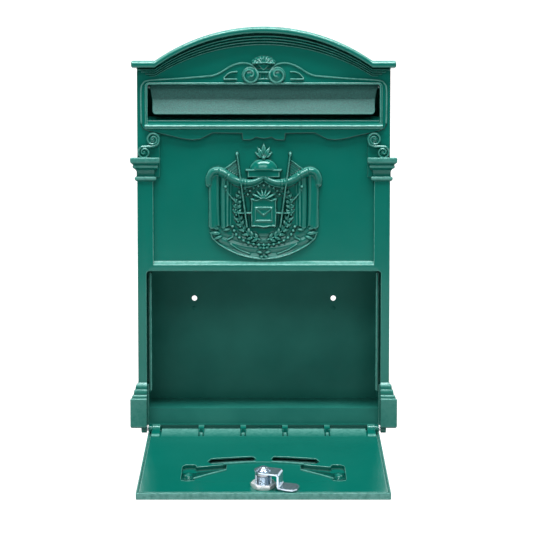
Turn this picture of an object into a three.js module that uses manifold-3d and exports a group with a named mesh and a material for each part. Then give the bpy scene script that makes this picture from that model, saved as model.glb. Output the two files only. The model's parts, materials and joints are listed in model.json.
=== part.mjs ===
// Wall mounted mailbox: cast front with a lift-up slot flap and a bottom-hung door, on a sheet back pan.
// Millimetres. +X is to the viewer's right, +Z is up and the front faces -Y. The wall is the plane y = 0,
// and the origin lies on it, midway between the two wall holes.

import * as THREE from 'three';
import { mergeVertices } from 'three/addons/utils/BufferGeometryUtils.js';
import Module from 'manifold-3d';

const wasm = await Module();
wasm.setup();

// ---------------------------------------------------------------- driving dimensions

const GAP = 0.4; // clearance between separate pieces that touch
const OVERRUN = 1; // how far a cutting tool runs past the face that it cuts

// Front planes, as distances in front of the wall
const FACE = 84; // general front plane of the casting
const COLUMN_FACE = 86;
const PANEL_FACE = 81.5; // sunk centre panel
const CASTING_BACK = 79; // back of the casting's plate
const SKIRT_BACK = 52; // where the casting's side skirt ends

// Heights
const BASE = -122; // underside of the plinths
const SHOULDER = 242.7; // top of the cornice's straight ends
const APEX = 276; // top of the arched cornice
const OPENING_TOP = 34.6;
const RAIL_TOP = 44.5; // top of the rail between the door and the centre panel

// Half widths
const BODY_HALF = 125.6;
const SKIRT_WALL = 2.4;
const OPENING_HALF = 116.8;
const ARCH_HALF = 107.1; // where the arch meets the shoulders
const CORNICE_HALF = 130.3;
const PANEL_HALF = 109.6;

// Letter slot
const SLOT_HALF = 114.8;
const SLOT_BOTTOM = 184.5;
const SLOT_TOP = 220.2;

// Back pan
const SHEET = 1.2;
const PAN_FRONT = 60;
const FLOOR_TOP = -106;
const FLOOR_FRONT = 67; // front edge of the pan's floor
const LIP_BOTTOM = -122.4;
const WALL_HOLE_X = 73.1;
const WALL_HOLE_R = 2.75;

// Door, in its own frame: origin on the hinge axis, closed, +Z up the door, +Y into the box
const DOOR_AXIS = new THREE.Vector3(0, -77.8, -125.4);
const DOOR_OPEN_DEG = 100.7;
const DOOR_HALF = 116.1;
const DOOR_TOP = OPENING_TOP - 0.8 - DOOR_AXIS.z;
const DOOR_BOTTOM = -2.6;
const DOOR_OUTER = -8.2; // outer face, flush with the rail above
const DOOR_INNER = -1.8; // inner face
const HINGE_PIN_R = 2;
const HINGE_LUG_R = 4;

// Lock, on the door
const LOCK_HEIGHT = DOOR_TOP - 16.8; // above the hinge axis
const BARREL_R = 7.8;
const BARREL_TOP = 11.8; // above the door's inner face
const CAM_REST_DEG = 16; // how far the cam is turned from its unlocked stop
const PLUG_R = 5.4;

// Slot flap
const FLAP_AXIS = new THREE.Vector3(0, -75.6, 217.6);
const FLAP_HALF = 113.4;
const ROD_R = 1.5;

// ---------------------------------------------------------------- materials

function material(name, color, roughness, metalness) {
  return new THREE.MeshStandardMaterial({ name, color, roughness, metalness });
}

const paint = material('green_paint', 0x216f62, 0.45, 0.1);
const pan = material('pan_paint', 0x1d6156, 0.5, 0.1);
const hammered = material('flap_paint', 0x2c7365, 0.6, 0.1);
const chrome = material('chrome', 0xdfe3e6, 0.15, 1);
const zinc = material('zinc_steel', 0xb9bdc0, 0.35, 0.9);
const brass = material('brass', 0xb9964f, 0.35, 0.9);

// ---------------------------------------------------------------- geometry helpers

// A closed triangle mesh becomes a solid once its shared vertices are merged.
function solid(geometry) {
  geometry.deleteAttribute('normal');
  geometry.deleteAttribute('uv');
  const merged = mergeVertices(geometry, 1e-4);
  return new wasm.Manifold(new wasm.Mesh({
    numProp: 3,
    vertProperties: new Float32Array(merged.attributes.position.array),
    triVerts: new Uint32Array(merged.index.array),
  }));
}

function geometryOf(body) {
  const mesh = body.getMesh();
  const geometry = new THREE.BufferGeometry();
  geometry.setAttribute('position', new THREE.BufferAttribute(mesh.vertProperties, 3));
  geometry.setIndex(new THREE.BufferAttribute(mesh.triVerts, 1));
  geometry.computeVertexNormals();
  return geometry;
}

// A box between two corners.
function box(x0, x1, y0, y1, z0, z1) {
  const geometry = new THREE.BoxGeometry(x1 - x0, y1 - y0, z1 - z0);
  geometry.translate((x0 + x1) / 2, (y0 + y1) / 2, (z0 + z1) / 2);
  return solid(geometry);
}

// A box placed symmetrically about x = 0.
function centredBox(half, y0, y1, z0, z1) {
  return box(-half, half, y0, y1, z0, z1);
}

// An outline in x and z, extruded from the distance `back` to the distance `front` before the wall.
function relief(shape, back, front, curveSegments = 10) {
  const options = { depth: front - back, bevelEnabled: false, curveSegments };
  const geometry = new THREE.ExtrudeGeometry(shape, options);
  geometry.rotateX(Math.PI / 2).translate(0, -back, 0);
  return solid(geometry);
}

// A profile in y and z, extruded along x.
function bar(shape, x0, x1, curveSegments = 6) {
  const geometry = new THREE.ExtrudeGeometry(shape, { depth: x1 - x0, bevelEnabled: false, curveSegments });
  geometry.applyMatrix4(new THREE.Matrix4().makeBasis(
    new THREE.Vector3(0, 1, 0), new THREE.Vector3(0, 0, 1), new THREE.Vector3(1, 0, 0)));
  geometry.translate(x0, 0, 0);
  return solid(geometry);
}

// A cylinder or cone along x, from x0 to x1.
function rodX(x0, x1, y, z, r0, r1 = r0, segments = 20) {
  const geometry = new THREE.CylinderGeometry(r1, r0, x1 - x0, segments);
  geometry.rotateZ(-Math.PI / 2).translate((x0 + x1) / 2, y, z);
  return solid(geometry);
}

// A cylinder or cone along y, from y0 to y1.
function rodY(x, y0, y1, z, r0, r1 = r0, segments = 24) {
  const geometry = new THREE.CylinderGeometry(r1, r0, y1 - y0, segments);
  geometry.rotateY(Math.PI / segments).translate(x, (y0 + y1) / 2, z);
  return solid(geometry);
}

function polygon(points) {
  return new THREE.Shape(points.map(([a, b]) => new THREE.Vector2(a, b)));
}

function mirrored(points) {
  return points.concat(points.map(([x, z]) => [-x, z]).reverse());
}

function addMirror(body, half) {
  return body.add(half).add(half.mirror([1, 0, 0]));
}

// Straight sides and shoulders with an arc between them, as on the cornice and everything that nests in it.
function archOutline({ half, bottom, shoulder, corner, apex }) {
  const rise = apex - shoulder;
  const radius = (corner * corner + rise * rise) / (2 * rise);
  const centre = apex - radius;
  const angle = Math.asin(corner / radius);
  const shape = new THREE.Shape();
  shape.moveTo(-half, bottom);
  shape.lineTo(half, bottom);
  shape.lineTo(half, shoulder);
  shape.absarc(0, centre, radius, Math.PI / 2 - angle, Math.PI / 2 + angle, false);
  shape.lineTo(-half, shoulder);
  shape.closePath();
  return shape;
}

// ---------------------------------------------------------------- front casting

// Each cornice moulding is the same arch set lower and further back, with a shorter straight end. It is
// `drop` under the top one at the middle and `ledge` under it on the straight ends.
const CORNICE = [
  { drop: 0, ledge: 0, half: CORNICE_HALF, front: 95 },
  { drop: 6.6, ledge: 7.3, half: 121.8, front: 92 },
  { drop: 10, ledge: 10.1, half: 118.4, front: 89.5 },
  { drop: 13.4, ledge: 12.8, half: 115, front: 87 },
];
const CORNICE_FOOT = { drop: 17, ledge: 15.6 }; // underside of the lowest moulding
const CORNICE_ROOT = 1.5; // how far each moulding runs on behind the next one

function cornice() {
  let body = null;
  CORNICE.forEach(({ drop, ledge, half, front }, i) => {
    const next = i + 1 < CORNICE.length ? CORNICE[i + 1] : CORNICE_FOOT;
    const foot = SHOULDER - next.ledge - CORNICE_ROOT;
    const outer = archOutline({
      half, bottom: foot, shoulder: SHOULDER - ledge, corner: ARCH_HALF, apex: APEX - drop,
    });
    const step = relief(outer, i === 0 ? CASTING_BACK - 3 : CASTING_BACK, front, 12);
    const under = archOutline({
      half: ARCH_HALF - 0.5, bottom: foot - 40, shoulder: foot, corner: ARCH_HALF - 0.6,
      apex: APEX - next.drop - CORNICE_ROOT,
    });
    const band = step.subtract(relief(under, CASTING_BACK + 3, front + OVERRUN, 12));
    body = body ? body.add(band) : band;
  });
  return body;
}

// Half outline of the slot's raised border with its crest above, from the centre outwards and down.
const SLOT_BORDER = [
  [0, 249], [8, 247.5], [12, 242], [16, 238.6], [27, 239.8], [36, 237.6], [46, 230.5], [54, 226.6],
  [112, 224.6], [119, 221], [121.6, 214], [121.6, 190], [119, 181], [112, 176.6],
];
// Half outline of the apron under the slot, from the lower border inwards.
const SLOT_APRON = [
  [112, 175.6], [92, 169.5], [74, 164.4], [62, 165.4], [50, 171.6], [22.5, 171.6], [21.5, 164.8], [11, 165.2],
  [7, 168], [0, 164.6],
];

function slotSurround() {
  const border = relief(polygon(mirrored(SLOT_BORDER)), CASTING_BACK, 85.6);
  const apron = relief(polygon(mirrored(SLOT_APRON)), CASTING_BACK, 84.6);
  const frame = centredBox(SLOT_HALF + 2.4, -87.4, -CASTING_BACK, SLOT_BOTTOM - 6.4, SLOT_TOP + 2);
  let volutes = relief(volute(13.6, 228.6, 8), CASTING_BACK, 88.4);
  volutes = volutes.add(volutes.mirror([1, 0, 0]));
  return border.add(apron).add(frame).add(volutes);
}

function volute(x, z, r) {
  const shape = new THREE.Shape();
  shape.absarc(x, z, r, 0, 2 * Math.PI, false);
  return shape;
}

// Draped crest in the middle of the centre panel: plain shield, mantle and swag.
const CREST_MANTLE = [
  [0, 148], [10, 145], [18, 134], [30, 128], [44, 136], [54, 131], [56, 100], [50, 78], [38, 66], [22, 54],
  [0, 46.5],
];
const CREST_SHIELD = [[0, 108], [14, 106], [16, 92], [12, 76], [0, 67]];

function crest() {
  const mantle = relief(polygon(mirrored(CREST_MANTLE)), CASTING_BACK, 85.4);
  const shield = relief(polygon(mirrored(CREST_SHIELD)), CASTING_BACK, 88.6);
  return mantle.add(shield);
}

// One column with its scroll, capital and plinth, on the +x side.
const CAPITAL = [
  // half-width outside, inner x, bottom, top, front
  [131.2, 103.2, 139.8, 147.6, 92.6],
  [128.6, 105, 135.6, 139.8, 90.2],
  [125.9, 108, 129.4, 135.6, 88],
  [127.6, 106.6, 124.6, 129.4, 89.4],
];
const PLINTH = [
  [127.4, 115.2, -85, -79, 88],
  [129.6, 115.2, -90.4, -85, 89.4],
  [131.4, 115.2, -94.6, -90.4, 90.6],
  [133.6, 115.2, BASE, -94.6, 92],
];

function columns(body) {
  for (const [outer, inner, bottom, top, front] of CAPITAL) {
    body = addMirror(body, box(inner, outer, -front, -CASTING_BACK + 1, bottom, top));
  }
  for (const [outer, inner, bottom, top, front] of PLINTH) {
    const clear = Math.max(inner, OPENING_HALF);
    body = addMirror(body, box(clear, outer, -front, -SKIRT_BACK - 10, bottom, top));
  }
  const shaft = box(PANEL_HALF + 2, BODY_HALF, -COLUMN_FACE, -CASTING_BACK + 1, BASE, 170);
  const scroll = relief(volute(111, 166.6, 7), CASTING_BACK, 88.6)
    .add(relief(volute(119, 153.6, 5.6), CASTING_BACK, 88.6));
  return addMirror(addMirror(body, shaft), scroll);
}

// Stop ribs beside the door opening, the hinge lugs with their bores, and the ears of the flap's rod.
const STOP_RIB = { inner: 112.4, outer: 115, bottom: -84, top: 32, back: 66, front: 78.6 };

// The door's edges rest on the rib's front, and a web joins the rib to the casting behind the column.
function stopRib() {
  const { inner, outer, bottom, top, back, front } = STOP_RIB;
  const leg = box(inner, outer, -front, -back, bottom, top);
  const web = box(outer - 1, BODY_HALF - 1, -front, -front + 2.4, bottom, top);
  const root = box(OPENING_HALF + 1, BODY_HALF - 1, -CASTING_BACK - 1, -front + 1, bottom, top);
  return leg.add(web).add(root);
}

function hingeLug() {
  const inner = OPENING_HALF + 0.8;
  const { y, z } = DOOR_AXIS;
  const eye = rodX(inner, inner + 5.6, y, z, HINGE_LUG_R);
  return eye.add(box(inner, inner + 5.6, y - HINGE_LUG_R, y + HINGE_LUG_R, z, z + 8));
}

function flapEar() {
  const { y, z } = FLAP_AXIS;
  return box(FLAP_HALF + 1, FLAP_HALF + 3.6, -CASTING_BACK - 1, y + 4, z - 4, z + 6);
}

function frontCasting() {
  const outer = archOutline({
    half: BODY_HALF, bottom: BASE, shoulder: SHOULDER - 4, corner: ARCH_HALF - 1, apex: APEX - 4,
  });
  const hollow = archOutline({
    half: BODY_HALF - SKIRT_WALL, bottom: BASE - OVERRUN, shoulder: SHOULDER - 4 - SKIRT_WALL,
    corner: ARCH_HALF - 1.8, apex: APEX - 4 - SKIRT_WALL,
  });
  let body = relief(outer, SKIRT_BACK, FACE, 12);
  body = body.subtract(relief(hollow, SKIRT_BACK - OVERRUN, CASTING_BACK, 12));
  body = body.subtract(centredBox(PANEL_HALF, -FACE - OVERRUN, -PANEL_FACE, RAIL_TOP, 160));
  body = body.add(centredBox(PANEL_HALF + 4, -COLUMN_FACE, -CASTING_BACK, OPENING_TOP, RAIL_TOP - 3));
  body = columns(body.add(cornice()));
  body = body.add(slotSurround()).add(crest());

  const opening = centredBox(OPENING_HALF, -100, -40, BASE - 10, OPENING_TOP);
  const slot = centredBox(SLOT_HALF, -100, -40, SLOT_BOTTOM, SLOT_TOP);
  body = body.subtract(opening).subtract(slot);
  body = addMirror(body, stopRib());
  body = addMirror(body, hingeLug());
  body = addMirror(body, flapEar());

  const pinBore = rodX(OPENING_HALF - 2, 140, DOOR_AXIS.y, DOOR_AXIS.z, HINGE_PIN_R + GAP);
  const lugBore = pinBore.subtract(box(123.6, 150, -100, 0, -140, 0));
  const earBore = rodX(FLAP_HALF - 4, FLAP_HALF + 8, FLAP_AXIS.y, FLAP_AXIS.z, ROD_R + GAP, ROD_R + GAP, 16);
  for (const bore of [lugBore, earBore]) {
    body = body.subtract(bore).subtract(bore.mirror([1, 0, 0]));
  }
  for (const [side, z] of PAN_SCREWS) {
    body = body.subtract(screwTool(side, z));
  }
  return body;
}

// ---------------------------------------------------------------- back pan and its screws

const PAN_HALF = BODY_HALF - SKIRT_WALL - GAP;
const PAN_SCREWS = [-1, 1].flatMap((side) => [-92, 60, 205].map((z) => [side, z]));
const SCREW_Y = -56;
const SCREW_SHANK_R = 1.5;
const SCREW_HEAD_R = 3;

function panOutline(inset, bottom) {
  return archOutline({
    half: PAN_HALF - inset, bottom, shoulder: SHOULDER - 4 - SKIRT_WALL - GAP - inset,
    corner: ARCH_HALF - 2 - inset / 2, apex: APEX - 4 - SKIRT_WALL - GAP - inset,
  });
}

function backPan() {
  let body = relief(panOutline(0, LIP_BOTTOM), 0, PAN_FRONT, 12);
  body = body.subtract(relief(panOutline(SHEET, FLOOR_TOP), SHEET, PAN_FRONT + OVERRUN, 12));
  const under = FLOOR_TOP - SHEET;
  const inside = PAN_HALF - SHEET;
  body = body.subtract(centredBox(inside, -PAN_FRONT - OVERRUN, -SHEET, LIP_BOTTOM - OVERRUN, under));
  const floorHalf = OPENING_HALF - 0.6;
  body = body.add(centredBox(floorHalf, -FLOOR_FRONT, -PAN_FRONT + 4, under, FLOOR_TOP));
  body = body.add(centredBox(floorHalf, -FLOOR_FRONT, -FLOOR_FRONT + SHEET, LIP_BOTTOM, FLOOR_TOP));
  for (const x of [-WALL_HOLE_X, WALL_HOLE_X]) {
    body = body.subtract(rodY(x, -SHEET - OVERRUN, OVERRUN, 0, WALL_HOLE_R));
  }
  for (const [side, z] of PAN_SCREWS) {
    const hole = rodX(PAN_HALF - 4, PAN_HALF + 4, SCREW_Y, z, SCREW_SHANK_R + GAP, SCREW_SHANK_R + GAP, 12);
    body = body.subtract(side > 0 ? hole : hole.mirror([1, 0, 0]));
  }
  return body;
}

// Countersunk screw along x, its head flush with the casting's side.
function panScrew(side, z) {
  const head = BODY_HALF - 0.1;
  const neck = head - 1.6;
  const body = rodX(neck, head, SCREW_Y, z, SCREW_SHANK_R, SCREW_HEAD_R, 16)
    .add(rodX(PAN_HALF - 6, neck + 0.1, SCREW_Y, z, SCREW_SHANK_R, SCREW_SHANK_R, 16));
  return side > 0 ? body : body.mirror([1, 0, 0]);
}

function screwTool(side, z) {
  const head = BODY_HALF + GAP;
  const neck = head - 2.2;
  const body = rodX(neck, head, SCREW_Y, z, SCREW_SHANK_R + GAP, SCREW_HEAD_R + 2 * GAP, 16)
    .add(rodX(PAN_HALF - 8, neck + 0.1, SCREW_Y, z, SCREW_SHANK_R + GAP, SCREW_SHANK_R + GAP, 16));
  return side > 0 ? body : body.mirror([1, 0, 0]);
}

// ---------------------------------------------------------------- slot flap, rod and clips

// Profile in y and z about the rod: an eye at the top, a drop, and a lower lip that flares outwards.
const FLAP_PROFILE = [
  [2.9, 0], [2.4, 1.9], [0.6, 2.9], [-1.8, 2.4], [-2.9, 0.4], [-3.4, -6], [-4.8, -13], [-7.6, -20],
  [-11.2, -26.6], [-11, -28], [-9.4, -28.2], [-5.6, -21.4], [-2.6, -14], [-1, -6.4], [0.4, -2.9], [2, -2.1],
];

function slotFlap() {
  const profile = polygon(FLAP_PROFILE.map(([y, z]) => [y + FLAP_AXIS.y, z + FLAP_AXIS.z]));
  const body = bar(profile, -FLAP_HALF, FLAP_HALF);
  const { y, z } = FLAP_AXIS;
  return body.subtract(rodX(-FLAP_HALF - 1, FLAP_HALF + 1, y, z, ROD_R + GAP, ROD_R + GAP, 16));
}

const ROD_HALF = FLAP_HALF + 6;

function flapRod() {
  return rodX(-ROD_HALF, ROD_HALF, FLAP_AXIS.y, FLAP_AXIS.z, ROD_R, ROD_R, 16);
}

// Push-on clip: a disc with a bore, just outside the ear.
function rodClip(side) {
  const x0 = FLAP_HALF + 4;
  const disc = rodX(x0, x0 + 0.8, FLAP_AXIS.y, FLAP_AXIS.z, 2.9, 2.9, 16);
  const ring = disc.subtract(rodX(x0 - 1, x0 + 2, FLAP_AXIS.y, FLAP_AXIS.z, ROD_R + 0.3, ROD_R + 0.3, 16));
  return side > 0 ? ring : ring.mirror([1, 0, 0]);
}

// ---------------------------------------------------------------- door

const FLANGE_BACK = 4.6; // how far the hinge flange stands into the box
const BOSS = { inner: 104.4, outer: DOOR_HALF, r: 4 };
const GUSSETS = [-62, -20.5, 20.5, 62];
const SLOT_VIEW = { inner: 9.4, outer: 53, rise: 5.6, z: 76.6, height: 10.4 };
const PENDANT = { x: 70.6, bottom: 98, top: 122, r: 8.6 }; // a long boss at each end of the garland
const POCKET_R = 6.4; // the same boss, sunk into the inner face

// Half outline of the garland between the pendants, from the middle of its lower edge round to the upper one.
const GARLAND = [[0, 83.6], [35, 89.5], [66, 96.6], [66, 124], [35, 104], [0, 95]];
// The same garland sunk into the inner face, on one side.
const TROUGH = [[68, 97.2], [68, 124.8], [35, 104], [35, 89.8]];

function pendant(side, r, back, front) {
  const { x, bottom, top } = PENDANT;
  const shape = new THREE.Shape();
  shape.absarc(side * x, top, r, 0, Math.PI, false);
  shape.absarc(side * x, bottom, r, Math.PI, 2 * Math.PI, false);
  shape.closePath();
  return relief(shape, back, front, 8);
}

function doorSwag() {
  const face = -DOOR_OUTER;
  return relief(polygon(mirrored(GARLAND)), face - 1, face + 2.2)
    .add(pendant(-1, PENDANT.r, face - 1, face + 3.4))
    .add(pendant(1, PENDANT.r, face - 1, face + 3.4));
}

// The relief on the outside is sunk on the inside: a long pocket and a tapered trough each side.
function doorPockets(body) {
  const inner = -DOOR_INNER;
  for (const side of [-1, 1]) {
    const outline = TROUGH.map(([x, z]) => [side * x, z]);
    const trough = relief(polygon(outline), inner - OVERRUN, inner + 2.4);
    body = body.subtract(pendant(side, POCKET_R, inner - OVERRUN, inner + 3.6)).subtract(trough);
  }
  return body;
}

function viewingSlot(side) {
  const { inner, outer, rise, z, height } = SLOT_VIEW;
  const points = [
    [inner, z - height / 2], [outer - 3, z + rise - height / 2], [outer, z + rise],
    [outer - 3, z + rise + height / 2], [inner, z + height / 2], [inner - 2, z],
  ].map(([x, h]) => [side * x, h]);
  return relief(polygon(points), -20, 20);
}

function doorPanel() {
  let body = centredBox(DOOR_HALF, DOOR_OUTER, DOOR_INNER, DOOR_BOTTOM, DOOR_TOP);
  const rim = centredBox(DOOR_HALF, DOOR_OUTER, DOOR_INNER + 0.6, DOOR_BOTTOM, DOOR_TOP)
    .subtract(centredBox(DOOR_HALF - 1.6, DOOR_OUTER - 1, DOOR_INNER + 2, DOOR_BOTTOM - 1, DOOR_TOP - 1.6));
  body = body.add(rim).add(doorSwag());
  body = doorPockets(body);
  body = body.add(centredBox(DOOR_HALF, DOOR_OUTER + 1, FLANGE_BACK, DOOR_BOTTOM, DOOR_BOTTOM + 2.4));
  body = body.add(centredBox(BOSS.inner + 1, DOOR_INNER - 1, DOOR_INNER + 1.6, DOOR_BOTTOM, 6.4));
  const rib = polygon([
    [DOOR_INNER - 1, DOOR_BOTTOM + 1], [FLANGE_BACK - 0.6, DOOR_BOTTOM + 1], [FLANGE_BACK - 0.6, 1],
    [DOOR_INNER - 1, 14],
  ]);
  for (const x of GUSSETS) {
    body = body.add(bar(rib, x - 1.2, x + 1.2));
  }
  const eye = rodX(BOSS.inner, BOSS.outer, 0, 0, BOSS.r);
  body = addMirror(body, eye.add(box(BOSS.inner, BOSS.outer, DOOR_OUTER + 2, 2, DOOR_BOTTOM, 5)));
  // The bottom edge is rounded about the hinge axis, so that it clears the plinths as it turns.
  const sweep = rodX(-DOOR_HALF - 1, DOOR_HALF + 1, 0, 0, -DOOR_OUTER, -DOOR_OUTER, 40);
  body = body.subtract(centredBox(DOOR_HALF + 2, -12, 12, -12, 0).subtract(sweep));

  const bore = rodX(BOSS.inner + 2, BOSS.outer + 4, 0, 0, HINGE_PIN_R + GAP);
  body = body.subtract(bore).subtract(bore.mirror([1, 0, 0]));
  for (const side of [-1, 1]) {
    body = body.subtract(viewingSlot(side));
  }
  return body.subtract(rodY(0, -20, 20, LOCK_HEIGHT, BARREL_R + GAP));
}

// In the casting's lug and the door's boss, on the hinge axis.
function hingePin(side) {
  const body = rodX(BOSS.inner + 2.6, OPENING_HALF + 6.6, DOOR_AXIS.y, DOOR_AXIS.z, HINGE_PIN_R);
  return side > 0 ? body : body.mirror([1, 0, 0]);
}

// ---------------------------------------------------------------- lock

// In the lock's own frame: y is the height above the door's inner face, x the cam's way when unlocked.
const DOOR_THICKNESS = DOOR_INNER - DOOR_OUTER;
const BEZEL_R = 10.4;
const NUT_FLATS = 20; // across flats
const PLUG_TOP = BARREL_TOP + 0.4;
const STUD_HALF = 3.2; // square stud on the plug that turns the cam
const STUD_TOP = PLUG_TOP + 4.4;
const CAM_BOTTOM = PLUG_TOP + 2.1;
const CAM_THICK = 1.9;
const CAM_HALF = 7.6;
const WAFER_THICK = 1;
const WAFERS = [0, 1, 2, 3].map((i) => -3.6 + 3.2 * i);

function lockBarrel() {
  const outer = -DOOR_THICKNESS - 3.2;
  const bezel = rodY(0, outer, -DOOR_THICKNESS - 0.4, 0, BEZEL_R - 1.2, BEZEL_R, 32);
  const tube = rodY(0, -DOOR_THICKNESS - 0.6, BARREL_TOP, 0, BARREL_R, BARREL_R, 28);
  return bezel.add(tube).subtract(rodY(0, outer - 1, BARREL_TOP + 1, 0, PLUG_R + 0.4, PLUG_R + 0.4, 28));
}

function lockNut() {
  const hexagon = rodY(0, GAP, 3.6, 0, NUT_FLATS / Math.sqrt(3), NUT_FLATS / Math.sqrt(3), 6);
  return hexagon.subtract(rodY(0, -1, 5, 0, BARREL_R + GAP, BARREL_R + GAP, 28));
}

function lockPlug() {
  const outer = -DOOR_THICKNESS - 2.8;
  let body = rodY(0, outer, PLUG_TOP, 0, PLUG_R, PLUG_R, 28);
  body = body.add(box(-STUD_HALF, STUD_HALF, PLUG_TOP - 0.5, STUD_TOP, -STUD_HALF, STUD_HALF));
  // The keyway runs in from the outer end, and each wafer slot crosses it.
  body = body.subtract(box(-1, 1, outer - 1, 10, -3.6, 3.6));
  for (const y of WAFERS) {
    const gap = GAP - 0.1;
    body = body.subtract(box(-2.6 - gap, 2.6 + gap, y - gap, y + WAFER_THICK + gap, -4.4, 6));
  }
  return body.subtract(rodY(0, PLUG_TOP - 4.6, STUD_TOP + 1, 0, 1.9, 1.9, 16));
}

function wafer(y) {
  const body = box(-2.6, 2.6, y, y + WAFER_THICK, -4, 4);
  return body.subtract(box(-1.3, 1.3, y - 1, y + 3, -2.4, 2.4));
}

function stopDisc() {
  const y0 = PLUG_TOP + 0.4;
  const disc = rodY(0, y0, y0 + 1.2, 0, BARREL_R - 0.2, BARREL_R - 0.2, 28);
  const hole = STUD_HALF + 0.4;
  return disc.add(box(-2, 2, y0, y0 + 1.2, -BARREL_R - 1.6, -BARREL_R + 1.4))
    .subtract(box(-hole, hole, y0 - 1, y0 + 3, -hole, hole));
}

// The strip leaves the stud, drops towards the door and turns out again, and its free corners are cut off.
const CAM_REACH = 33;
const CAM_DROP_X = 16.4;
const CAM_FOOT = 1; // height of the outer leg above the door

function lockCam() {
  const top = CAM_BOTTOM + CAM_THICK;
  const strip = polygon([
    [-CAM_HALF, CAM_BOTTOM], [CAM_DROP_X - CAM_THICK, CAM_BOTTOM], [CAM_DROP_X - CAM_THICK, CAM_FOOT + 1],
    [CAM_DROP_X - CAM_THICK + 1, CAM_FOOT], [CAM_REACH, CAM_FOOT], [CAM_REACH, CAM_FOOT + CAM_THICK],
    [CAM_DROP_X, CAM_FOOT + CAM_THICK], [CAM_DROP_X, top - 1], [CAM_DROP_X - 1, top], [-CAM_HALF, top],
  ]);
  const geometry = new THREE.ExtrudeGeometry(strip, { depth: 2 * CAM_HALF, bevelEnabled: false });
  let body = solid(geometry.translate(0, 0, -CAM_HALF));
  const cut = 4;
  const outline = polygon([
    [-CAM_HALF, -CAM_HALF], [CAM_REACH - cut, -CAM_HALF], [CAM_REACH, -CAM_HALF + cut],
    [CAM_REACH, CAM_HALF - cut], [CAM_REACH - cut, CAM_HALF], [-CAM_HALF, CAM_HALF],
  ]);
  body = body.intersect(relief(outline, -30, 30));
  const hole = STUD_HALF + 0.4;
  return body.subtract(box(-hole, hole, CAM_BOTTOM - 1, top + 1, -hole, hole));
}

function camWasher() {
  const y0 = STUD_TOP + GAP;
  return rodY(0, y0, y0 + 0.9, 0, 5.4, 5.4, 20).subtract(rodY(0, y0 - 1, y0 + 2, 0, 2, 2, 16));
}

function camScrew() {
  const y0 = STUD_TOP + 2 * GAP + 0.9;
  const head = rodY(0, y0, y0 + 2.3, 0, 4, 3, 20);
  const cross = box(-2, 2, y0 + 1.2, y0 + 4, -0.5, 0.5).add(box(-0.5, 0.5, y0 + 1.2, y0 + 4, -2, 2));
  return head.add(rodY(0, PLUG_TOP - 4, y0 + 0.5, 0, 1.5, 1.5, 16)).subtract(cross);
}

// ---------------------------------------------------------------- assembly

const mailbox = new THREE.Group();

function place(group, name, body, material) {
  const mesh = new THREE.Mesh(geometryOf(body), material);
  mesh.name = name;
  group.add(mesh);
}

place(mailbox, 'front_casting', frontCasting(), paint);
place(mailbox, 'back_pan', backPan(), pan);
PAN_SCREWS.forEach(([side, z], i) => place(mailbox, `back_pan_screw_${i + 1}`, panScrew(side, z), zinc));
place(mailbox, 'slot_flap', slotFlap(), hammered);
place(mailbox, 'flap_hinge_rod', flapRod(), zinc);
place(mailbox, 'flap_rod_clip_left', rodClip(-1), zinc);
place(mailbox, 'flap_rod_clip_right', rodClip(1), zinc);
place(mailbox, 'door_hinge_pin_left', hingePin(-1), zinc);
place(mailbox, 'door_hinge_pin_right', hingePin(1), zinc);

// The door is built closed and turned open about its hinge.
const door = new THREE.Group();
door.position.copy(DOOR_AXIS);
door.rotation.x = THREE.MathUtils.degToRad(DOOR_OPEN_DEG);
mailbox.add(door);
place(door, 'door_panel', doorPanel(), paint);

const lock = new THREE.Group();
lock.position.set(0, DOOR_INNER, LOCK_HEIGHT);
door.add(lock);
place(lock, 'lock_barrel', lockBarrel(), chrome);
place(lock, 'lock_nut', lockNut(), chrome);

// The core turns in the barrel, and the cam stands a little towards the door's free edge.
const core = new THREE.Group();
core.rotation.y = -THREE.MathUtils.degToRad(CAM_REST_DEG);
lock.add(core);
place(core, 'lock_plug', lockPlug(), chrome);
WAFERS.forEach((y, i) => place(core, `lock_wafer_${i + 1}`, wafer(y), brass));
place(core, 'cam_stop_disc', stopDisc(), zinc);
place(core, 'lock_cam', lockCam(), chrome);
place(core, 'cam_washer', camWasher(), zinc);
place(core, 'cam_screw', camScrew(), chrome);

export default mailbox;
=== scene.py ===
"""Looks of the wall mounted mailbox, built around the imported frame.

Shapes are built in millimetres as (x, f, z): x to the viewer's right, f out from the wall, z up.
The door's shapes use its own frame, origin on the hinge axis and z up the closed door, and are turned
open with the frame's hinge.
"""
import json
import math

import bmesh
import bpy
import numpy as np
from mathutils import Matrix, Vector
from mathutils.geometry import tessellate_polygon


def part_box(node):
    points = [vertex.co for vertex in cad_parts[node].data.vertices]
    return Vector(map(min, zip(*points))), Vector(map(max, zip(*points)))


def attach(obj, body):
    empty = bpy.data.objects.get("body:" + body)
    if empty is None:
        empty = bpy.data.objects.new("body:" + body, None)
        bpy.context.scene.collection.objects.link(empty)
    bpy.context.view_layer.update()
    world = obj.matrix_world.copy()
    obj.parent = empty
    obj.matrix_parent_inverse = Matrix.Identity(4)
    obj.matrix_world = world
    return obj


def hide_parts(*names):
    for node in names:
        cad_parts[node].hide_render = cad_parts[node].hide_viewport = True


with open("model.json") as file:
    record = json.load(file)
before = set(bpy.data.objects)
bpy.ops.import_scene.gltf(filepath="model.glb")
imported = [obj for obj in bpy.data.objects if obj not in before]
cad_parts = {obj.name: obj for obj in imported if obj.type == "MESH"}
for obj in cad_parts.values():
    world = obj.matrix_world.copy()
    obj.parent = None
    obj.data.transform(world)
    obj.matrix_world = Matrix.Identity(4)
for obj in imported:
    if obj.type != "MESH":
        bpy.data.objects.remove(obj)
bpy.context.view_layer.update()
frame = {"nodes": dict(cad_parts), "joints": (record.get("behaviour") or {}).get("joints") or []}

# ---- driving sizes, from the frame

MM = 0.001


def node_box(name):
    low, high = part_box(name)
    return np.array(low) / MM, np.array(high) / MM


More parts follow.
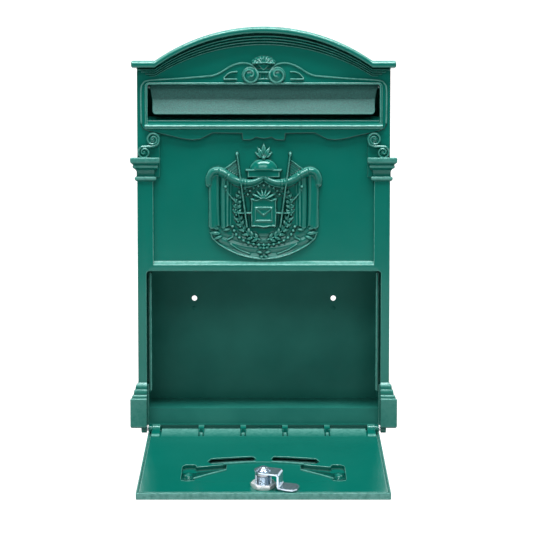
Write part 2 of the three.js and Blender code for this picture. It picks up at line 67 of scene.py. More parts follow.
def joint(name):
    return next(j for j in frame["joints"] if j["name"] == name)


CAST_LOW, CAST_HIGH = node_box("front_casting")
DOOR_HIGH, FLAP_HIGH, PAN_HIGH = (node_box(name)[1] for name in ("door_panel", "slot_flap", "back_pan"))

APEX = CAST_HIGH[2]
CORNICE_FRONT = -CAST_LOW[1]
SHOULDER = APEX - 33.3  # top of the cornice's straight ends
CORNER = 107.1  # where the arch meets the shoulders
BASE = -122.0  # underside of the plinths
BODY_HALF = CAST_HIGH[0] - 8.0
FACE = CORNICE_FRONT - 11.0  # general front plane
COLUMN_FACE = FACE + 2.0
PANEL_FACE = FACE - 2.5
PLATE_BACK = FACE - 5.0
SKIRT_BACK = -CAST_HIGH[1]
OPENING_HALF = DOOR_HIGH[0] + 0.7
OPENING_TOP = 34.6
RAIL_TOP = 44.5
PANEL_HALF = 109.6
STRIP_HALF = 103.0  # inner edge of the plate beside the scrolls
SLOT_HALF = 114.8
SLOT_BOTTOM, SLOT_TOP = 184.5, 220.2
ARCH_STEPS = 40

HINGE = Vector(joint("door_hinge")["pos_m"])
DOOR_OPEN = math.radians(joint("door_hinge")["range_deg"][1])
LOCK = Vector(joint("lock_turn")["pos_m"])
DOOR_HALF = DOOR_HIGH[0]
DOOR_OUTER, DOOR_INNER = 8.2, 1.8  # distances of the door's faces outwards from the hinge axis
LOCK_HEIGHT = (LOCK - HINGE).length / MM
DOOR_TOP = LOCK_HEIGHT + 16.8

# ---- outlines


def fillet(points, default=0.0, steps=5):
    """Closed outline from (x, z) or (x, z, radius) corners, with an arc at each corner that has a radius."""
    result = []
    count = len(points)
    for i, point in enumerate(points):
        here = np.array(point[:2], float)
        radius = point[2] if len(point) > 2 else default
        to_last = np.array(points[i - 1][:2], float) - here
        to_next = np.array(points[(i + 1) % count][:2], float) - here
        a, b = to_last / np.linalg.norm(to_last), to_next / np.linalg.norm(to_next)
        half = math.acos(np.clip(a @ b, -1, 1)) / 2
        if radius <= 0 or half > math.radians(88):
            result.append(here)
            continue
        reach = min(radius / math.tan(half), 0.49 * np.linalg.norm(to_last), 0.49 * np.linalg.norm(to_next))
        radius = reach * math.tan(half)
        bisector = (a + b) / np.linalg.norm(a + b)
        centre = here + bisector * radius / math.sin(half)
        start, end = here + a * reach - centre, here + b * reach - centre
        turn = math.atan2(start[0] * end[1] - start[1] * end[0], start @ end)
        for k in range(steps + 1):
            angle = turn * k / steps
            c, s = math.cos(angle), math.sin(angle)
            result.append(centre + np.array([c * start[0] - s * start[1], s * start[0] + c * start[1]]))
    return np.array(result)


def spline(points, per_span):
    """Smooth curve through the points (Catmull-Rom), with so many steps from one to the next."""
    p = np.array(points, float)
    p = np.vstack([2 * p[0] - p[1], p, 2 * p[-1] - p[-2]])
    result = []
    for i in range(1, len(p) - 2):
        for k in range(per_span):
            t = k / per_span
            result.append(0.5 * (2 * p[i] + (p[i + 1] - p[i - 1]) * t
                                 + (2 * p[i - 1] - 5 * p[i] + 4 * p[i + 1] - p[i + 2]) * t * t
                                 + (3 * p[i] - p[i - 1] - 3 * p[i + 1] + p[i + 2]) * t ** 3))
    return np.array(result + [p[-2]])


def circle(centre, radius, count):
    """Closed ring of points about a centre, anticlockwise."""
    angles = np.linspace(0, 2 * math.pi, count + 1)[:-1]
    return [(centre[0] + radius * math.cos(a), centre[1] + radius * math.sin(a)) for a in angles]


def notch(half, low, high, radius=0.0, foot=0.0):
    """Clockwise corners of a rectangle about x = 0: up its left side, over its top and down its right side."""
    return [(-half, low, foot), (-half, high, radius), (half, high, radius), (half, low, foot)]


def arch_circle(apex, shoulder):
    """Radius and half angle of the arc over the apex that ends at the shoulders."""
    rise = apex - shoulder
    radius = (CORNER ** 2 + rise ** 2) / (2 * rise)
    return radius, math.asin(CORNER / radius)


def arch_top(half, drop):
    """Points over the top of the body from right to left: shoulder, arc, shoulder, lowered by drop."""
    apex, shoulder = APEX - drop, SHOULDER - drop
    radius, spread = arch_circle(apex, shoulder)
    angles = np.linspace(-spread, spread, ARCH_STEPS + 1)
    arc = np.stack([-radius * np.sin(angles), apex - radius + radius * np.cos(angles)], axis=1)
    return np.vstack([[half, shoulder], arc, [-half, shoulder]])


def mirrored(points):
    """A closed outline from its right half, which runs from the bottom middle up to the top middle."""
    right = np.array(points, float)
    return np.vstack([right, flip(right[::-1])[1:-1]])


def flip(path):
    return path * np.array([-1.0] + [1.0] * (path.shape[1] - 1))


def spiral(centre, start, end, first, turn, steps):
    """Spiral path about a centre: radius from start to end, angle from first through turn, in degrees."""
    t = np.linspace(0, 1, steps + 1)
    radius = start + (end - start) * t ** 1.8
    angle = np.radians(first + turn * t)
    return np.stack([centre[0] + radius * np.cos(angle), centre[1] + radius * np.sin(angle)], axis=1)


def at_depth(path, depth):
    """Lifts an (x, z) path to the distance f = depth."""
    depth = np.broadcast_to(depth, len(path))
    return np.stack([path[:, 0], depth, path[:, 1]], axis=1)


def inset(loop, amount):
    """Moves a closed outline inwards, to the left of its direction."""
    ahead = np.roll(loop, -1, axis=0) - loop
    ahead /= np.maximum(np.linalg.norm(ahead, axis=1, keepdims=True), 1e-9)
    normal = np.stack([-ahead[:, 1], ahead[:, 0]], axis=1)
    before = np.roll(normal, 1, axis=0)
    mitre = (normal + before) / np.maximum(1 + np.sum(normal * before, axis=1, keepdims=True), 0.35)
    return loop + mitre * amount


# ---- closed bodies

SHARP = math.radians(38)
EDGE_STEPS = 3  # steps of a slab's rounded edge
CASE_PLACE = Matrix.Diagonal((MM, -MM, MM, 1))
OPENED = Matrix.Translation(HINGE) @ Matrix.Rotation(DOOR_OPEN, 4, "X")
DOOR_PLACE = OPENED @ CASE_PLACE


class Piece:
    """Closed bodies that become one object. Their wear and painted light is 1 on worn edges and painted highlights,
    below 0 where shade is painted into grooves, recesses and under edges.
    """

    def __init__(self):
        self.points, self.faces, self.wear_and_painted_light = [], [], []
        self.count = 0

    def add(self, points, faces, wear_and_painted_light):
        points = np.asarray(points, float).reshape(-1, 3)
        self.points.append(points)
        self.wear_and_painted_light.append(np.broadcast_to(np.asarray(wear_and_painted_light, float).ravel(), len(points)))
        self.faces.extend([tuple(int(i) + self.count for i in face) for face in faces])
        self.count += len(points)

    def loft(self, rings, wear_and_painted_light=0.0):
        """Closed rings of equal length, joined in order, with a cap on the first and the last."""
        rings = np.asarray(rings, float)
        n, m = rings.shape[:2]
        faces = []
        for i in range(n - 1):
            for j in range(m):
                k = (j + 1) % m
                faces.append((i * m + j, i * m + k, (i + 1) * m + k, (i + 1) * m + j))
        faces.append(tuple(range(m - 1, -1, -1)))
        faces.append(tuple(range((n - 1) * m, n * m)))
        self.add(rings, faces, np.broadcast_to(wear_and_painted_light, (n, m)))

    def slab(self, loops, back, front, rounding, wear_and_painted_light=1.0, side_wear_and_painted_light=0.0):
        """A plate with rounded front edges. loops[0] runs anticlockwise, its holes clockwise."""
        steps = EDGE_STEPS
        arcs = [(0.0, back), (0.0, front - rounding)]
        for k in range(1, steps + 1):
            angle = math.pi / 2 * k / steps
            arcs.append((rounding * (1 - math.cos(angle)), front - rounding * (1 - math.sin(angle))))
        # side walls and rounded front edge get their wear and painted light: painted highlight on edges, painted
        # shade on walls below 0
        worn_and_painted_light = [side_wear_and_painted_light, side_wear_and_painted_light] + [wear_and_painted_light] * (steps - 1) + [0.0]
        points, values, faces, first = [], [], [], []
        base = 0
        for loop in loops:
            n = len(loop)
            first.append(base)
            for r, (amount, f) in enumerate(arcs):
                points.append(at_depth(inset(loop, amount), f))
                values.append(np.full(n, worn_and_painted_light[r]))
                if r:
                    lo, hi = base + (r - 1) * n, base + r * n
                    for j in range(n):
                        k = (j + 1) % n
                        faces.append((lo + j, lo + k, hi + k, hi + j))
            base += n * len(arcs)
        for ring in (0, len(arcs) - 1):
            flat, index = [], []
            for start, loop in zip(first, loops):
                n = len(loop)
                moved = inset(loop, arcs[ring][0])
                flat.append([Vector((p[0], p[1], 0)) for p in moved])
                index.extend(range(start + ring * n, start + (ring + 1) * n))
            for triangle in tessellate_polygon(flat):
                faces.append(tuple(index[i] for i in triangle))
        self.add(np.vstack(points), faces, np.concatenate(values))

    def tube(self, path, radius, sides, lift=1.0, wear_and_painted_light=1.0):
        """A bead with rounded ends along an (x, f, z) path that lies near a plane of constant f."""
        path = np.asarray(path, float)
        radius = np.broadcast_to(radius, len(path)).astype(float)
        along = np.gradient(path, axis=0)
        along /= np.maximum(np.linalg.norm(along, axis=1, keepdims=True), 1e-9)
        side = np.stack([-along[:, 2], np.zeros(len(path)), along[:, 0]], axis=1)
        side /= np.maximum(np.linalg.norm(side, axis=1, keepdims=True), 1e-9)
        out = np.cross(side, along)
        out *= np.sign(out[:, 1:2] + 1e-9)
        head = [path[0] - along[0] * radius[0] * (1 - k) for k in (0.0, 0.25, 0.6)]
        tail = [path[-1] + along[-1] * radius[-1] * k for k in (0.4, 0.75, 1.0)]
        path = np.vstack([head, path, tail])
        side, out = (np.vstack([[v[0]] * 3, v, [v[-1]] * 3]) for v in (side, out))
        ends = np.array([0.35, 0.75, 0.97])  # share of the radius at the three steps of a rounded end
        radius = np.concatenate([radius[0] * ends, radius, radius[-1] * ends[::-1]])
        angles = np.arange(sides) * 2 * math.pi / sides
        rings = (path[:, None, :] + radius[:, None, None]
                 * (np.cos(angles)[None, :, None] * side[:, None, :]
                    + lift * np.sin(angles)[None, :, None] * out[:, None, :]))
        # paler along the bead's front: wear with a painted highlight
        self.loft(rings, wear_and_painted_light * np.clip(np.sin(angles), 0, 1) ** 2)

    def lathe(self, centre, profile, steps, wear_and_painted_light=None):
        """Turns a (radius, height) profile, which starts and ends on the axis, about f through the centre."""
        x, f, z = centre
        angles = np.arange(steps) * 2 * math.pi / steps
        c, s = np.cos(angles), np.sin(angles)
        rings = [np.stack([x + r * c, np.full(steps, f + h), z + r * s], axis=1) for r, h in profile[1:-1]]
        ends = [(x, f + profile[0][1], z), (x, f + profile[-1][1], z)]
        points = np.vstack(rings + [ends])
        n = len(rings)
        faces = []
        for j in range(steps):
            k = (j + 1) % steps
            for i in range(n - 1):
                faces.append((i * steps + j, i * steps + k, (i + 1) * steps + k, (i + 1) * steps + j))
            faces.append((n * steps, k, j))
            faces.append((n * steps + 1, (n - 1) * steps + j, (n - 1) * steps + k))
        values = np.zeros(len(points))
        if wear_and_painted_light is not None:
            values[:n * steps] = np.repeat(wear_and_painted_light[1:-1], steps)
        self.add(points, faces, values)

    def prism(self, section, x0, x1, wear_and_painted_light=0.0, rounding=0.0):
        """An (f, z) section run along x, its ends drawn in by rounding."""
        section = np.array(section, float)
        area = np.sum(section[:, 0] * np.roll(section[:, 1], -1) - np.roll(section[:, 0], -1) * section[:, 1])
        if area < 0:
            section = section[::-1]
        stations = [(x0, 0.0), (x1, 0.0)]
        if rounding:
            steps = [(1 - math.cos(a), 1 - math.sin(a)) for a in (0.0, 0.8, math.pi / 2)]
            stations = [(x0 + rounding * c, rounding * s) for c, s in steps]
            stations += [(x1 - rounding * c, rounding * s) for c, s in steps[::-1]]
        rings = []
        for x, amount in stations:
            moved = inset(section, amount)
            rings.append(np.stack([np.full(len(moved), x), moved[:, 0], moved[:, 1]], axis=1))
        self.loft(rings, wear_and_painted_light)

    def relief(self, x_range, z_range, step, height, bottom, shade=None):
        """A height field: height(X, Z) gives f. Its curvature, or shade(X, Z), sets the wear and painted light:
        ridges pale with wear and painted highlight, hollows dark with painted shade.
        """
        nx = int(round((x_range[1] - x_range[0]) / step)) + 1
        nz = int(round((z_range[1] - z_range[0]) / step)) + 1
        X, Z = np.meshgrid(np.linspace(*x_range, nx), np.linspace(*z_range, nz))
        F = height(X, Z)
        smooth = blur(F, 2)
        bend = 4 * smooth
        for axis in (0, 1):
            bend = bend - np.roll(smooth, 1, axis) - np.roll(smooth, -1, axis)
        bend = bend / step ** 2 * 0.45
        # curvature: wear and painted highlight on ridges, painted shade in hollows
        wear_and_painted_light = shade(X, Z) if shade else np.clip(bend - 0.2, 0, 0.9) - np.clip(-bend - 0.05, 0, 0.8)
        wear_and_painted_light[:2] = wear_and_painted_light[-2:] = 0
        wear_and_painted_light[:, :2] = wear_and_painted_light[:, -2:] = 0
        i = np.arange(nz * nx).reshape(nz, nx)
        faces = list(np.stack([i[:-1, :-1], i[:-1, 1:], i[1:, 1:], i[1:, :-1]], axis=-1).reshape(-1, 4))
        edge = np.concatenate([i[0, :-1], i[:-1, -1], i[-1, :0:-1], i[:0:-1, 0]])
        m = len(edge)
        top = nz * nx
        for j in range(m):
            k = (j + 1) % m
            faces.append((edge[k], edge[j], top + j, top + k))
            faces.append((top + k, top + j, top + m))
        points = np.stack([X, F, Z], axis=-1).reshape(-1, 3)
        below = points[edge].copy()
        below[:, 1] = bottom
        middle = [[np.mean(x_range), bottom, np.mean(z_range)]]
        self.add(np.vstack([points, below, middle]), faces, np.concatenate([wear_and_painted_light.ravel(), np.zeros(m + 1)]))

    def mirror(self):
        """Adds the mirror image of everything so far."""
        points, wear_and_painted_light = np.vstack(self.points), np.concatenate(self.wear_and_painted_light)
        self.add(points * np.array([-1, 1, 1]), [face[::-1] for face in self.faces], wear_and_painted_light)

    def build(self, name, body="case", material="green_paint", replaces=(), place=CASE_PLACE, weighted=True):
        mesh = bpy.data.meshes.new(name)
        mesh.from_pydata(np.vstack(self.points).tolist(), [], self.faces)
        mesh.transform(place)
        mesh.validate()
        obj = bpy.data.objects.new(name, mesh)
        bpy.context.scene.collection.objects.link(obj)
        turn_outwards(mesh)
        # per point: worn edges and painted highlights above 0, painted shade below 0
        attribute = mesh.attributes.new("wear_and_painted_light", "FLOAT", "POINT")
        attribute.data.foreach_set("value", np.concatenate(self.wear_and_painted_light).astype(np.float32))
        mesh.shade_smooth()
        mesh.set_sharp_from_angle(angle=SHARP)
        if weighted:
            modifier = obj.modifiers.new("weighted", "WEIGHTED_NORMAL")
            modifier.mode = "FACE_AREA_WITH_ANGLE"
            modifier.keep_sharp = True
        mesh.materials.append(MATERIALS[material])
        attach(obj, body)
        if replaces:
            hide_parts(*replaces)


def turn_outwards(mesh):
    """Turns every face outwards."""
    bm = bmesh.new()
    bm.from_mesh(mesh)
    bmesh.ops.recalc_face_normals(bm, faces=bm.faces)
    bm.to_mesh(mesh)
    bm.free()


def blur(field, rounds=1):
    for _ in range(rounds):
        for axis in (0, 1):
            field = (np.roll(field, 1, axis) + 2 * field + np.roll(field, -1, axis)) / 4
    return field


# ---- relief strokes, as heights over X, Z


def segment_distance(X, Z, path):
    """Distance to a polyline, and how far along it the nearest point lies, from 0 to 1."""
    path = np.asarray(path, float)
    best = np.full(X.shape, 1e9)
    where = np.zeros(X.shape)
    lengths = np.linalg.norm(np.diff(path, axis=0), axis=1)
    total, run = lengths.sum(), 0.0
    for a, b, length in zip(path[:-1], path[1:], lengths):
        if length < 1e-9:
            continue
        t = np.clip(((X - a[0]) * (b[0] - a[0]) + (Z - a[1]) * (b[1] - a[1])) / length ** 2, 0, 1)
        d = np.hypot(X - a[0] - t * (b[0] - a[0]), Z - a[1] - t * (b[1] - a[1]))
        near = d < best
        best = np.where(near, d, best)
        where = np.where(near, (run + t * length) / total, where)
        run += length
    return best, where


def stroke(X, Z, path, radius, height, end_radius=None):
    """A round bead along a path, its radius going from radius to end_radius."""
    d, t = segment_distance(X, Z, path)
    end_radius = radius if end_radius is None else end_radius
    r = radius + (end_radius - radius) * t
    return height * np.sqrt(np.clip(1 - (d / r) ** 2, 0, 1)) * (r / max(radius, end_radius)) ** 0.6


def dome(X, Z, centre, rx, rz, height):
    return height * np.sqrt(np.clip(1 - ((X - centre[0]) / rx) ** 2 - ((Z - centre[1]) / rz) ** 2, 0, 1))


def leaf(X, Z, root, angle, length, width, height):
    """A pointed leaf from its root, raised in the middle of each half, with a groove for the midrib."""
    c, s = math.cos(math.radians(angle)), math.sin(math.radians(angle))
    u = ((X - root[0]) * c + (Z - root[1]) * s) / length
    v = (-(X - root[0]) * s + (Z - root[1]) * c) / width
    shape = np.clip(np.sin(math.pi * np.clip(u, 0, 1) ** 0.8), 0, 1)
    edge = np.clip(1 - np.abs(v) / np.maximum(shape, 1e-3), 0, 1)
    return height * shape ** 0.5 * np.sqrt(edge) * (1 - 0.35 * np.exp(-(v * 5) ** 2))


def depth_inside(X, Z, outline):
    """Distance from the outline, positive inside it."""
    outline = np.asarray(outline, float)
    closed = np.vstack([outline, outline[:1]])
    d, _ = segment_distance(X, Z, closed)
    inside = np.zeros(X.shape, bool)
    for a, b in zip(closed[:-1], closed[1:]):
        crosses = (a[1] > Z) != (b[1] > Z)
        with np.errstate(divide="ignore", invalid="ignore"):
            at = (b[0] - a[0]) * (Z - a[1]) / (b[1] - a[1]) + a[0]
        inside ^= crosses & (X < at)
    return np.where(inside, d, -d)


def ramp(value, width):
    t = np.clip(value / width, 0, 1)
    return t * t * (3 - 2 * t)


class Field:
    """Heights over (x, z) places. Of each shape that is laid on and what is there, the higher one is kept."""

    def __init__(self, X, Z):
        self.places = X, Z
        self.height = np.zeros(X.shape)

    def lay(self, shape):
        self.height = np.maximum(self.height, shape)

    def stroke(self, *shape):
        self.lay(stroke(*self.places, *shape))

    def dome(self, *shape):
        self.lay(dome(*self.places, *shape))

    def leaf(self, *shape):
        self.lay(leaf(*self.places, *shape))


# ---- materials

MATERIALS = {}


class Nodes:
    """Short calls for a material's node tree."""

    def __init__(self, name):
        self.material = bpy.data.materials.new(name)
        self.material.use_nodes = True
        self.tree = self.material.node_tree
        self.shader = self.tree.nodes["Principled BSDF"]
        self.coordinates = self.add("ShaderNodeTexCoord").outputs["Object"]
        MATERIALS[name] = self.material

    def add(self, kind, **settings):
        node = self.tree.nodes.new(kind)
        for key, value in settings.items():
            if key in node.inputs:
                node.inputs[key].default_value = value
            else:
                setattr(node, key, value)
        return node

    def link(self, source, target):
        self.tree.links.new(source, target)

    def set(self, **values):
        """Constants or outputs for the shader's sockets, named with underscores for blanks."""
        for key, value in values.items():
            socket = self.shader.inputs[key.replace("_", " ")]
            if isinstance(value, (int, float, tuple)):
                socket.default_value = value
            else:
                self.link(value, socket)

    def noise(self, scale, detail=3.0, roughness=0.55, stretch=None):
        node = self.add("ShaderNodeTexNoise", Scale=scale, Detail=detail, Roughness=roughness)
        source = self.coordinates
        if stretch:
            mapping = self.add("ShaderNodeMapping", Scale=stretch)
            self.link(source, mapping.inputs["Vector"])
            source = mapping.outputs["Vector"]
        self.link(source, node.inputs["Vector"])
        return node.outputs["Fac"]

    def math(self, operation, a, b, clamp=False):
        node = self.add("ShaderNodeMath", operation=operation, use_clamp=clamp)
        for socket, value in zip(node.inputs, (a, b)):
            if isinstance(value, (int, float)):
                socket.default_value = value
            else:
                self.link(value, socket)
        return node.outputs[0]

    def spread(self, value, low, high, to_low=0.0, to_high=1.0):
        node = self.add("ShaderNodeMapRange")
        for key, number in zip(("From Min", "From Max", "To Min", "To Max"), (low, high, to_low, to_high)):
            node.inputs[key].default_value = number
        self.link(value, node.inputs["Value"])
        return node.outputs["Result"]

    def mix(self, factor, a, b):
        node = self.add("ShaderNodeMix", data_type="RGBA")
        sockets = (node.inputs[0], node.inputs[6], node.inputs[7])
        for socket, value in zip(sockets, (factor, a, b)):
            if isinstance(value, (int, float)):
                socket.default_value = value
            elif isinstance(value, tuple):
                socket.default_value = (*value, 1.0)
            else:
                self.link(value, socket)
        return node.outputs[2]

    def wear_and_painted_light(self):
        return self.add("ShaderNodeAttribute", attribute_name="wear_and_painted_light").outputs["Fac"]

    def bump(self, layers):
        """Bumps stacked on each other from (height, strength, distance in metres)."""
        last = None
        for height, strength, distance in layers:
            node = self.add("ShaderNodeBump", Strength=strength, Distance=distance)
            self.link(height, node.inputs["Height"])
            if last:
                self.link(last, node.inputs["Normal"])
            last = node.outputs["Normal"]
        self.set(Normal=last)


GREEN_DEEP = (0.001, 0.132, 0.100)
GREEN_SOFT = (0.002, 0.143, 0.109)
GREEN_DULL = (0.008, 0.125, 0.096)
GREEN_PAINTED_SHADE = (0.000, 0.035, 0.028)  # painted shade in grooves, recesses and under edges
# pale green of worn edges, also used for painted highlights
WORN_AND_HIGHLIGHT_TONE = (0.230, 0.560, 0.500)
GREEN_SHEEN = (0.55, 1.0, 0.96, 1.0)


def green_paint():
    """Gloss paint over a cast surface: two greens in broad patches, pale on worn edges and painted highlights, dark
    with painted shade in grooves and recesses.
    """
    n = Nodes("green_paint")
    patch = n.spread(n.noise(14, 2), 0.35, 0.65)
    body = n.mix(patch, GREEN_DEEP, GREEN_SOFT)
    drift = n.spread(n.noise(55, 4), 0.5, 0.75, 0.0, 0.12)
    body = n.mix(drift, body, GREEN_DULL)
    rub = n.spread(n.noise(260, 3), 0.3, 0.6, 0.45, 1.0)
    wear_and_painted_light = n.wear_and_painted_light()
    # above 0 the surface turns pale for wear and painted highlights, below 0 dark green for painted shade
    worn_and_painted_light = n.math("MULTIPLY", n.math("MULTIPLY", wear_and_painted_light, rub), 0.6, clamp=True)
    body = n.mix(worn_and_painted_light, body, WORN_AND_HIGHLIGHT_TONE)
    n.set(Base_Color=n.mix(n.spread(wear_and_painted_light, -1.0, 0.0), GREEN_PAINTED_SHADE, body),
          Roughness=n.spread(n.noise(90, 4), 0.3, 0.7, 0.15, 0.21), Specular_IOR_Level=0.45,
          Specular_Tint=GREEN_SHEEN, Coat_Weight=0.35, Coat_Roughness=0.11)
    n.bump([(n.noise(420, 2), 0.12, 0.0003), (n.noise(1400, 2, 0.7), 0.18, 0.0001)])


def pan_paint():
    """The same green on smooth sheet, a little paler and duller, with faint upright scuffs."""
    n = Nodes("pan_paint")
    body = n.mix(n.spread(n.noise(18, 3), 0.35, 0.65), (0.010, 0.150, 0.120), (0.020, 0.190, 0.152))
    scuff = n.spread(n.noise(500, 5, 0.7, stretch=(1, 1, 0.15)), 0.60, 0.80, 0.0, 0.25)
    n.set(Base_Color=n.mix(scuff, body, (0.040, 0.170, 0.140)),
          Roughness=n.spread(n.noise(70, 4), 0.3, 0.7, 0.34, 0.48), Specular_IOR_Level=0.35,
          Specular_Tint=GREEN_SHEEN)
    n.bump([(n.noise(380, 2), 0.1, 0.0003), (n.noise(1500, 2), 0.15, 0.0001)])


def flap_paint():
    """Fine hammered paint: pale grains over a grey green, paler on worn edges and painted highlights."""
    n = Nodes("flap_paint")
    cells = n.add("ShaderNodeTexVoronoi", feature="F1", Scale=900)
    n.link(n.coordinates, cells.inputs["Vector"])
    grain = n.noise(700, 4, 0.65)
    body = n.mix(n.spread(grain, 0.35, 0.68), (0.004, 0.082, 0.070), (0.018, 0.148, 0.130))
    # paler where the flap's edges and lip carry wear and a painted highlight
    n.set(Base_Color=n.mix(n.math("MULTIPLY", n.wear_and_painted_light(), 0.3), body, WORN_AND_HIGHLIGHT_TONE),
          Roughness=n.spread(grain, 0.3, 0.7, 0.50, 0.62))
    n.bump([(cells.outputs["Distance"], 0.5, 0.0003), (grain, 0.5, 0.0003)])


def plated(name, color, rough_low, rough_high, scratch, metallic=1.0):
    """Bright plate with faint draw lines and a mottled polish."""
    n = Nodes(name)
    shade = tuple(0.82 * c for c in color)
    n.set(Base_Color=n.mix(n.spread(n.noise(220, 4), 0.35, 0.7), color, shade),
          Roughness=n.spread(n.noise(300, 4), 0.3, 0.7, rough_low, rough_high), Metallic=metallic)
    n.bump([(n.noise(900, 3, 0.6, stretch=(1.0, 1.0, 0.08)), scratch, 0.0001)])


green_paint()
pan_paint()
flap_paint()
# the chrome's blue tint is a painted reflection of cool surroundings
plated("chrome", (0.68, 0.83, 0.96), 0.12, 0.22, 0.06, 0.88)
# near white base with little metal: a painted reflection that keeps the nut pale
plated("chrome_satin", (0.94, 0.97, 0.99), 0.20, 0.32, 0.1, 0.35)
plated("zinc_steel", (0.66, 0.68, 0.71), 0.25, 0.42, 0.25)
plated("brass", (0.72, 0.55, 0.24), 0.22, 0.38, 0.2)

# ---- casting: plates


UPPER_LOW, STRIP_TOP = 128.0, 172.6  # foot of the plate round the slot, and where its side strips end
COLUMN_TOP = 134.0
SKIRT_WALL = 2.4
BODY_DROP = 4.0  # of the plates' top below the cornice's


def body_outline(half, foot, corners):
    """The whole front's outline, anticlockwise from its foot, with corners cut into the bottom."""
    return fillet([(-half, foot, 0.8)] + corners + [(half, foot, 0.8)] + list(arch_top(half, BODY_DROP)))


def slot_hole(grow=0.0):
    return fillet(notch(SLOT_HALF + grow, SLOT_BOTTOM, SLOT_TOP, 2.2, 2.2))


def casting_plate():
    """The sunk panel, the plate round the slot, the columns with the rail between them, and the skirt."""
    piece = Piece()
    panel = body_outline(BODY_HALF - 0.4, BASE + 0.4, notch(OPENING_HALF, BASE, OPENING_TOP, 3.0))
    piece.slab([panel, slot_hole()], PLATE_BACK, PANEL_FACE, 0.4)
    upper = body_outline(BODY_HALF - 0.1, UPPER_LOW, notch(STRIP_HALF, UPPER_LOW, STRIP_TOP, 1.5))
    piece.slab([upper, slot_hole()], PLATE_BACK + 1, FACE, 0.7, wear_and_painted_light=0.05)
    columns = ([(-BODY_HALF, BASE, 0.6)] + notch(OPENING_HALF, BASE, OPENING_TOP, 2.9)
               + [(BODY_HALF, BASE, 0.6), (BODY_HALF, COLUMN_TOP)]
               + notch(PANEL_HALF, COLUMN_TOP, RAIL_TOP - 3.4)[::-1] + [(-BODY_HALF, COLUMN_TOP)])
    piece.slab([fillet(columns)], PLATE_BACK + 1, COLUMN_FACE, 0.8, wear_and_painted_light=0.5)
    bevel = [(PANEL_FACE - 1, RAIL_TOP + 0.6), (PANEL_FACE + 0.1, RAIL_TOP),
             (COLUMN_FACE - 0.4, RAIL_TOP - 3.3), (COLUMN_FACE - 0.1, RAIL_TOP - 4.2),
             (PANEL_FACE - 1, RAIL_TOP - 4.6)]
    # painted highlight along the rail's bevel
    piece.prism(bevel, -PANEL_HALF + 0.1, PANEL_HALF - 0.1, wear_and_painted_light=[0, 0.2, 0.75, 0.55, 0])
    # the skirt stands just inside the plates, so that no two walls lie in one plane
    outside, low = BODY_HALF - 0.15, BASE + 0.15
    inside = outside - SKIRT_WALL
    skirt = np.vstack([[[-outside, low], [-outside + SKIRT_WALL, low]],
                       arch_top(inside, BODY_DROP + SKIRT_WALL)[::-1],
                       [[inside, low], [outside, low]], arch_top(outside, BODY_DROP)])
    piece.slab([skirt], SKIRT_BACK, FACE - 0.5, 0.5)
    piece.build("casting_plate", replaces=["front_casting"])


# ---- casting: cornice

# Each band under the bullnose: drop of its top and bottom below the apex, its front and its half length.
BANDS = [(8.9, 10.8, CORNICE_FRONT - 4.0, 125.0), (11.6, 13.5, CORNICE_FRONT - 5.9, 121.0),
         (14.3, 16.1, CORNICE_FRONT - 7.8, 117.2), (16.9, 18.2, CORNICE_FRONT - 9.6, 113.4)]
NOSE_DROP, NOSE_LEDGE = 7.0, 7.4  # thickness of the bullnose at the middle and on its straight ends
BAND_SHARE = 0.72  # under it the bands crowd together towards the shoulders


def ledge_drop(drop):
    """How far below the shoulders' top a line lies that is so far below the apex."""
    under = NOSE_LEDGE + BAND_SHARE * (drop - NOSE_DROP)
    return np.where(drop < NOSE_DROP, drop * NOSE_LEDGE / NOSE_DROP, under)


def cornice_run(piece, profile, wear_and_painted_light, half, rounding):
    """A closed (drop, f) profile run over the arch, its ends drawn in by rounding."""
    profile = np.array(profile, float)
    ends = [(rounding * (1 - math.cos(a)), rounding * (1 - math.sin(a))) for a in (0.0, 0.6, 1.1, math.pi / 2)]
    stations = [(half - inwards, amount, None) for inwards, amount in ends]
    stations += [(None, 0.0, share) for share in np.linspace(1, -1, 49)]
    stations += [(-half + inwards, amount, None) for inwards, amount in ends[::-1]]
    rings = []
    for x, amount, share in stations:
        ring = []
        for d, f in inset(profile, amount):
            apex, shoulder = APEX - d, SHOULDER - ledge_drop(d)
            if share is None:
                ring.append((x, f, shoulder))
                continue
            radius, spread = arch_circle(apex, shoulder)
            angle = spread * share
            ring.append((radius * math.sin(angle), f, apex - radius + radius * math.cos(angle)))
        rings.append(ring)
    piece.loft(rings, wear_and_painted_light)


def cornice():
    piece = Piece()
    top = CORNICE_FRONT
    root = top - 17
    # the bullnose: drop, distance behind the front, wear and painted light (a painted highlight on its upper roll,
    # painted shade under it)
    nose = [(0.0, 17.0, 0), (0.0, 4.4, 0.3), (0.3, 3.0, 0.7), (0.9, 1.7, 0.9), (1.7, 0.8, 1.0),
            (2.3, 0.35, 0.7), (2.8, 0.1, 0.0), (3.8, 0.0, 0.0), (5.2, 0.1, 0.0), (6.0, 0.4, 0.3),
            (6.5, 1.0, 0.3), (6.8, 2.0, -0.2), (7.0, 4.0, -0.5), (7.0, 17.0, -0.5)]
    cornice_run(piece, [(d, top - b) for d, b, _ in nose[::-1]], [w for _, _, w in nose[::-1]], 130.3, 1.6)
    for d0, d1, f, half in BANDS:
        band = [(d0, root), (d0, f - 0.5), (d0 + 0.35, f), (d0 + 0.8, f - 0.3), (d1 - 0.6, f - 1.7),
                (d1, f - 2.6), (d1, root)]
        # painted highlight on each band's top edge, painted shade in the grooves under it
        cornice_run(piece, band[::-1], [-0.6, -0.5, -0.2, 0.3, 0.8, 0.0, -0.6], half, 0.8)
    piece.build("cornice")


# ---- casting: letter slot surround

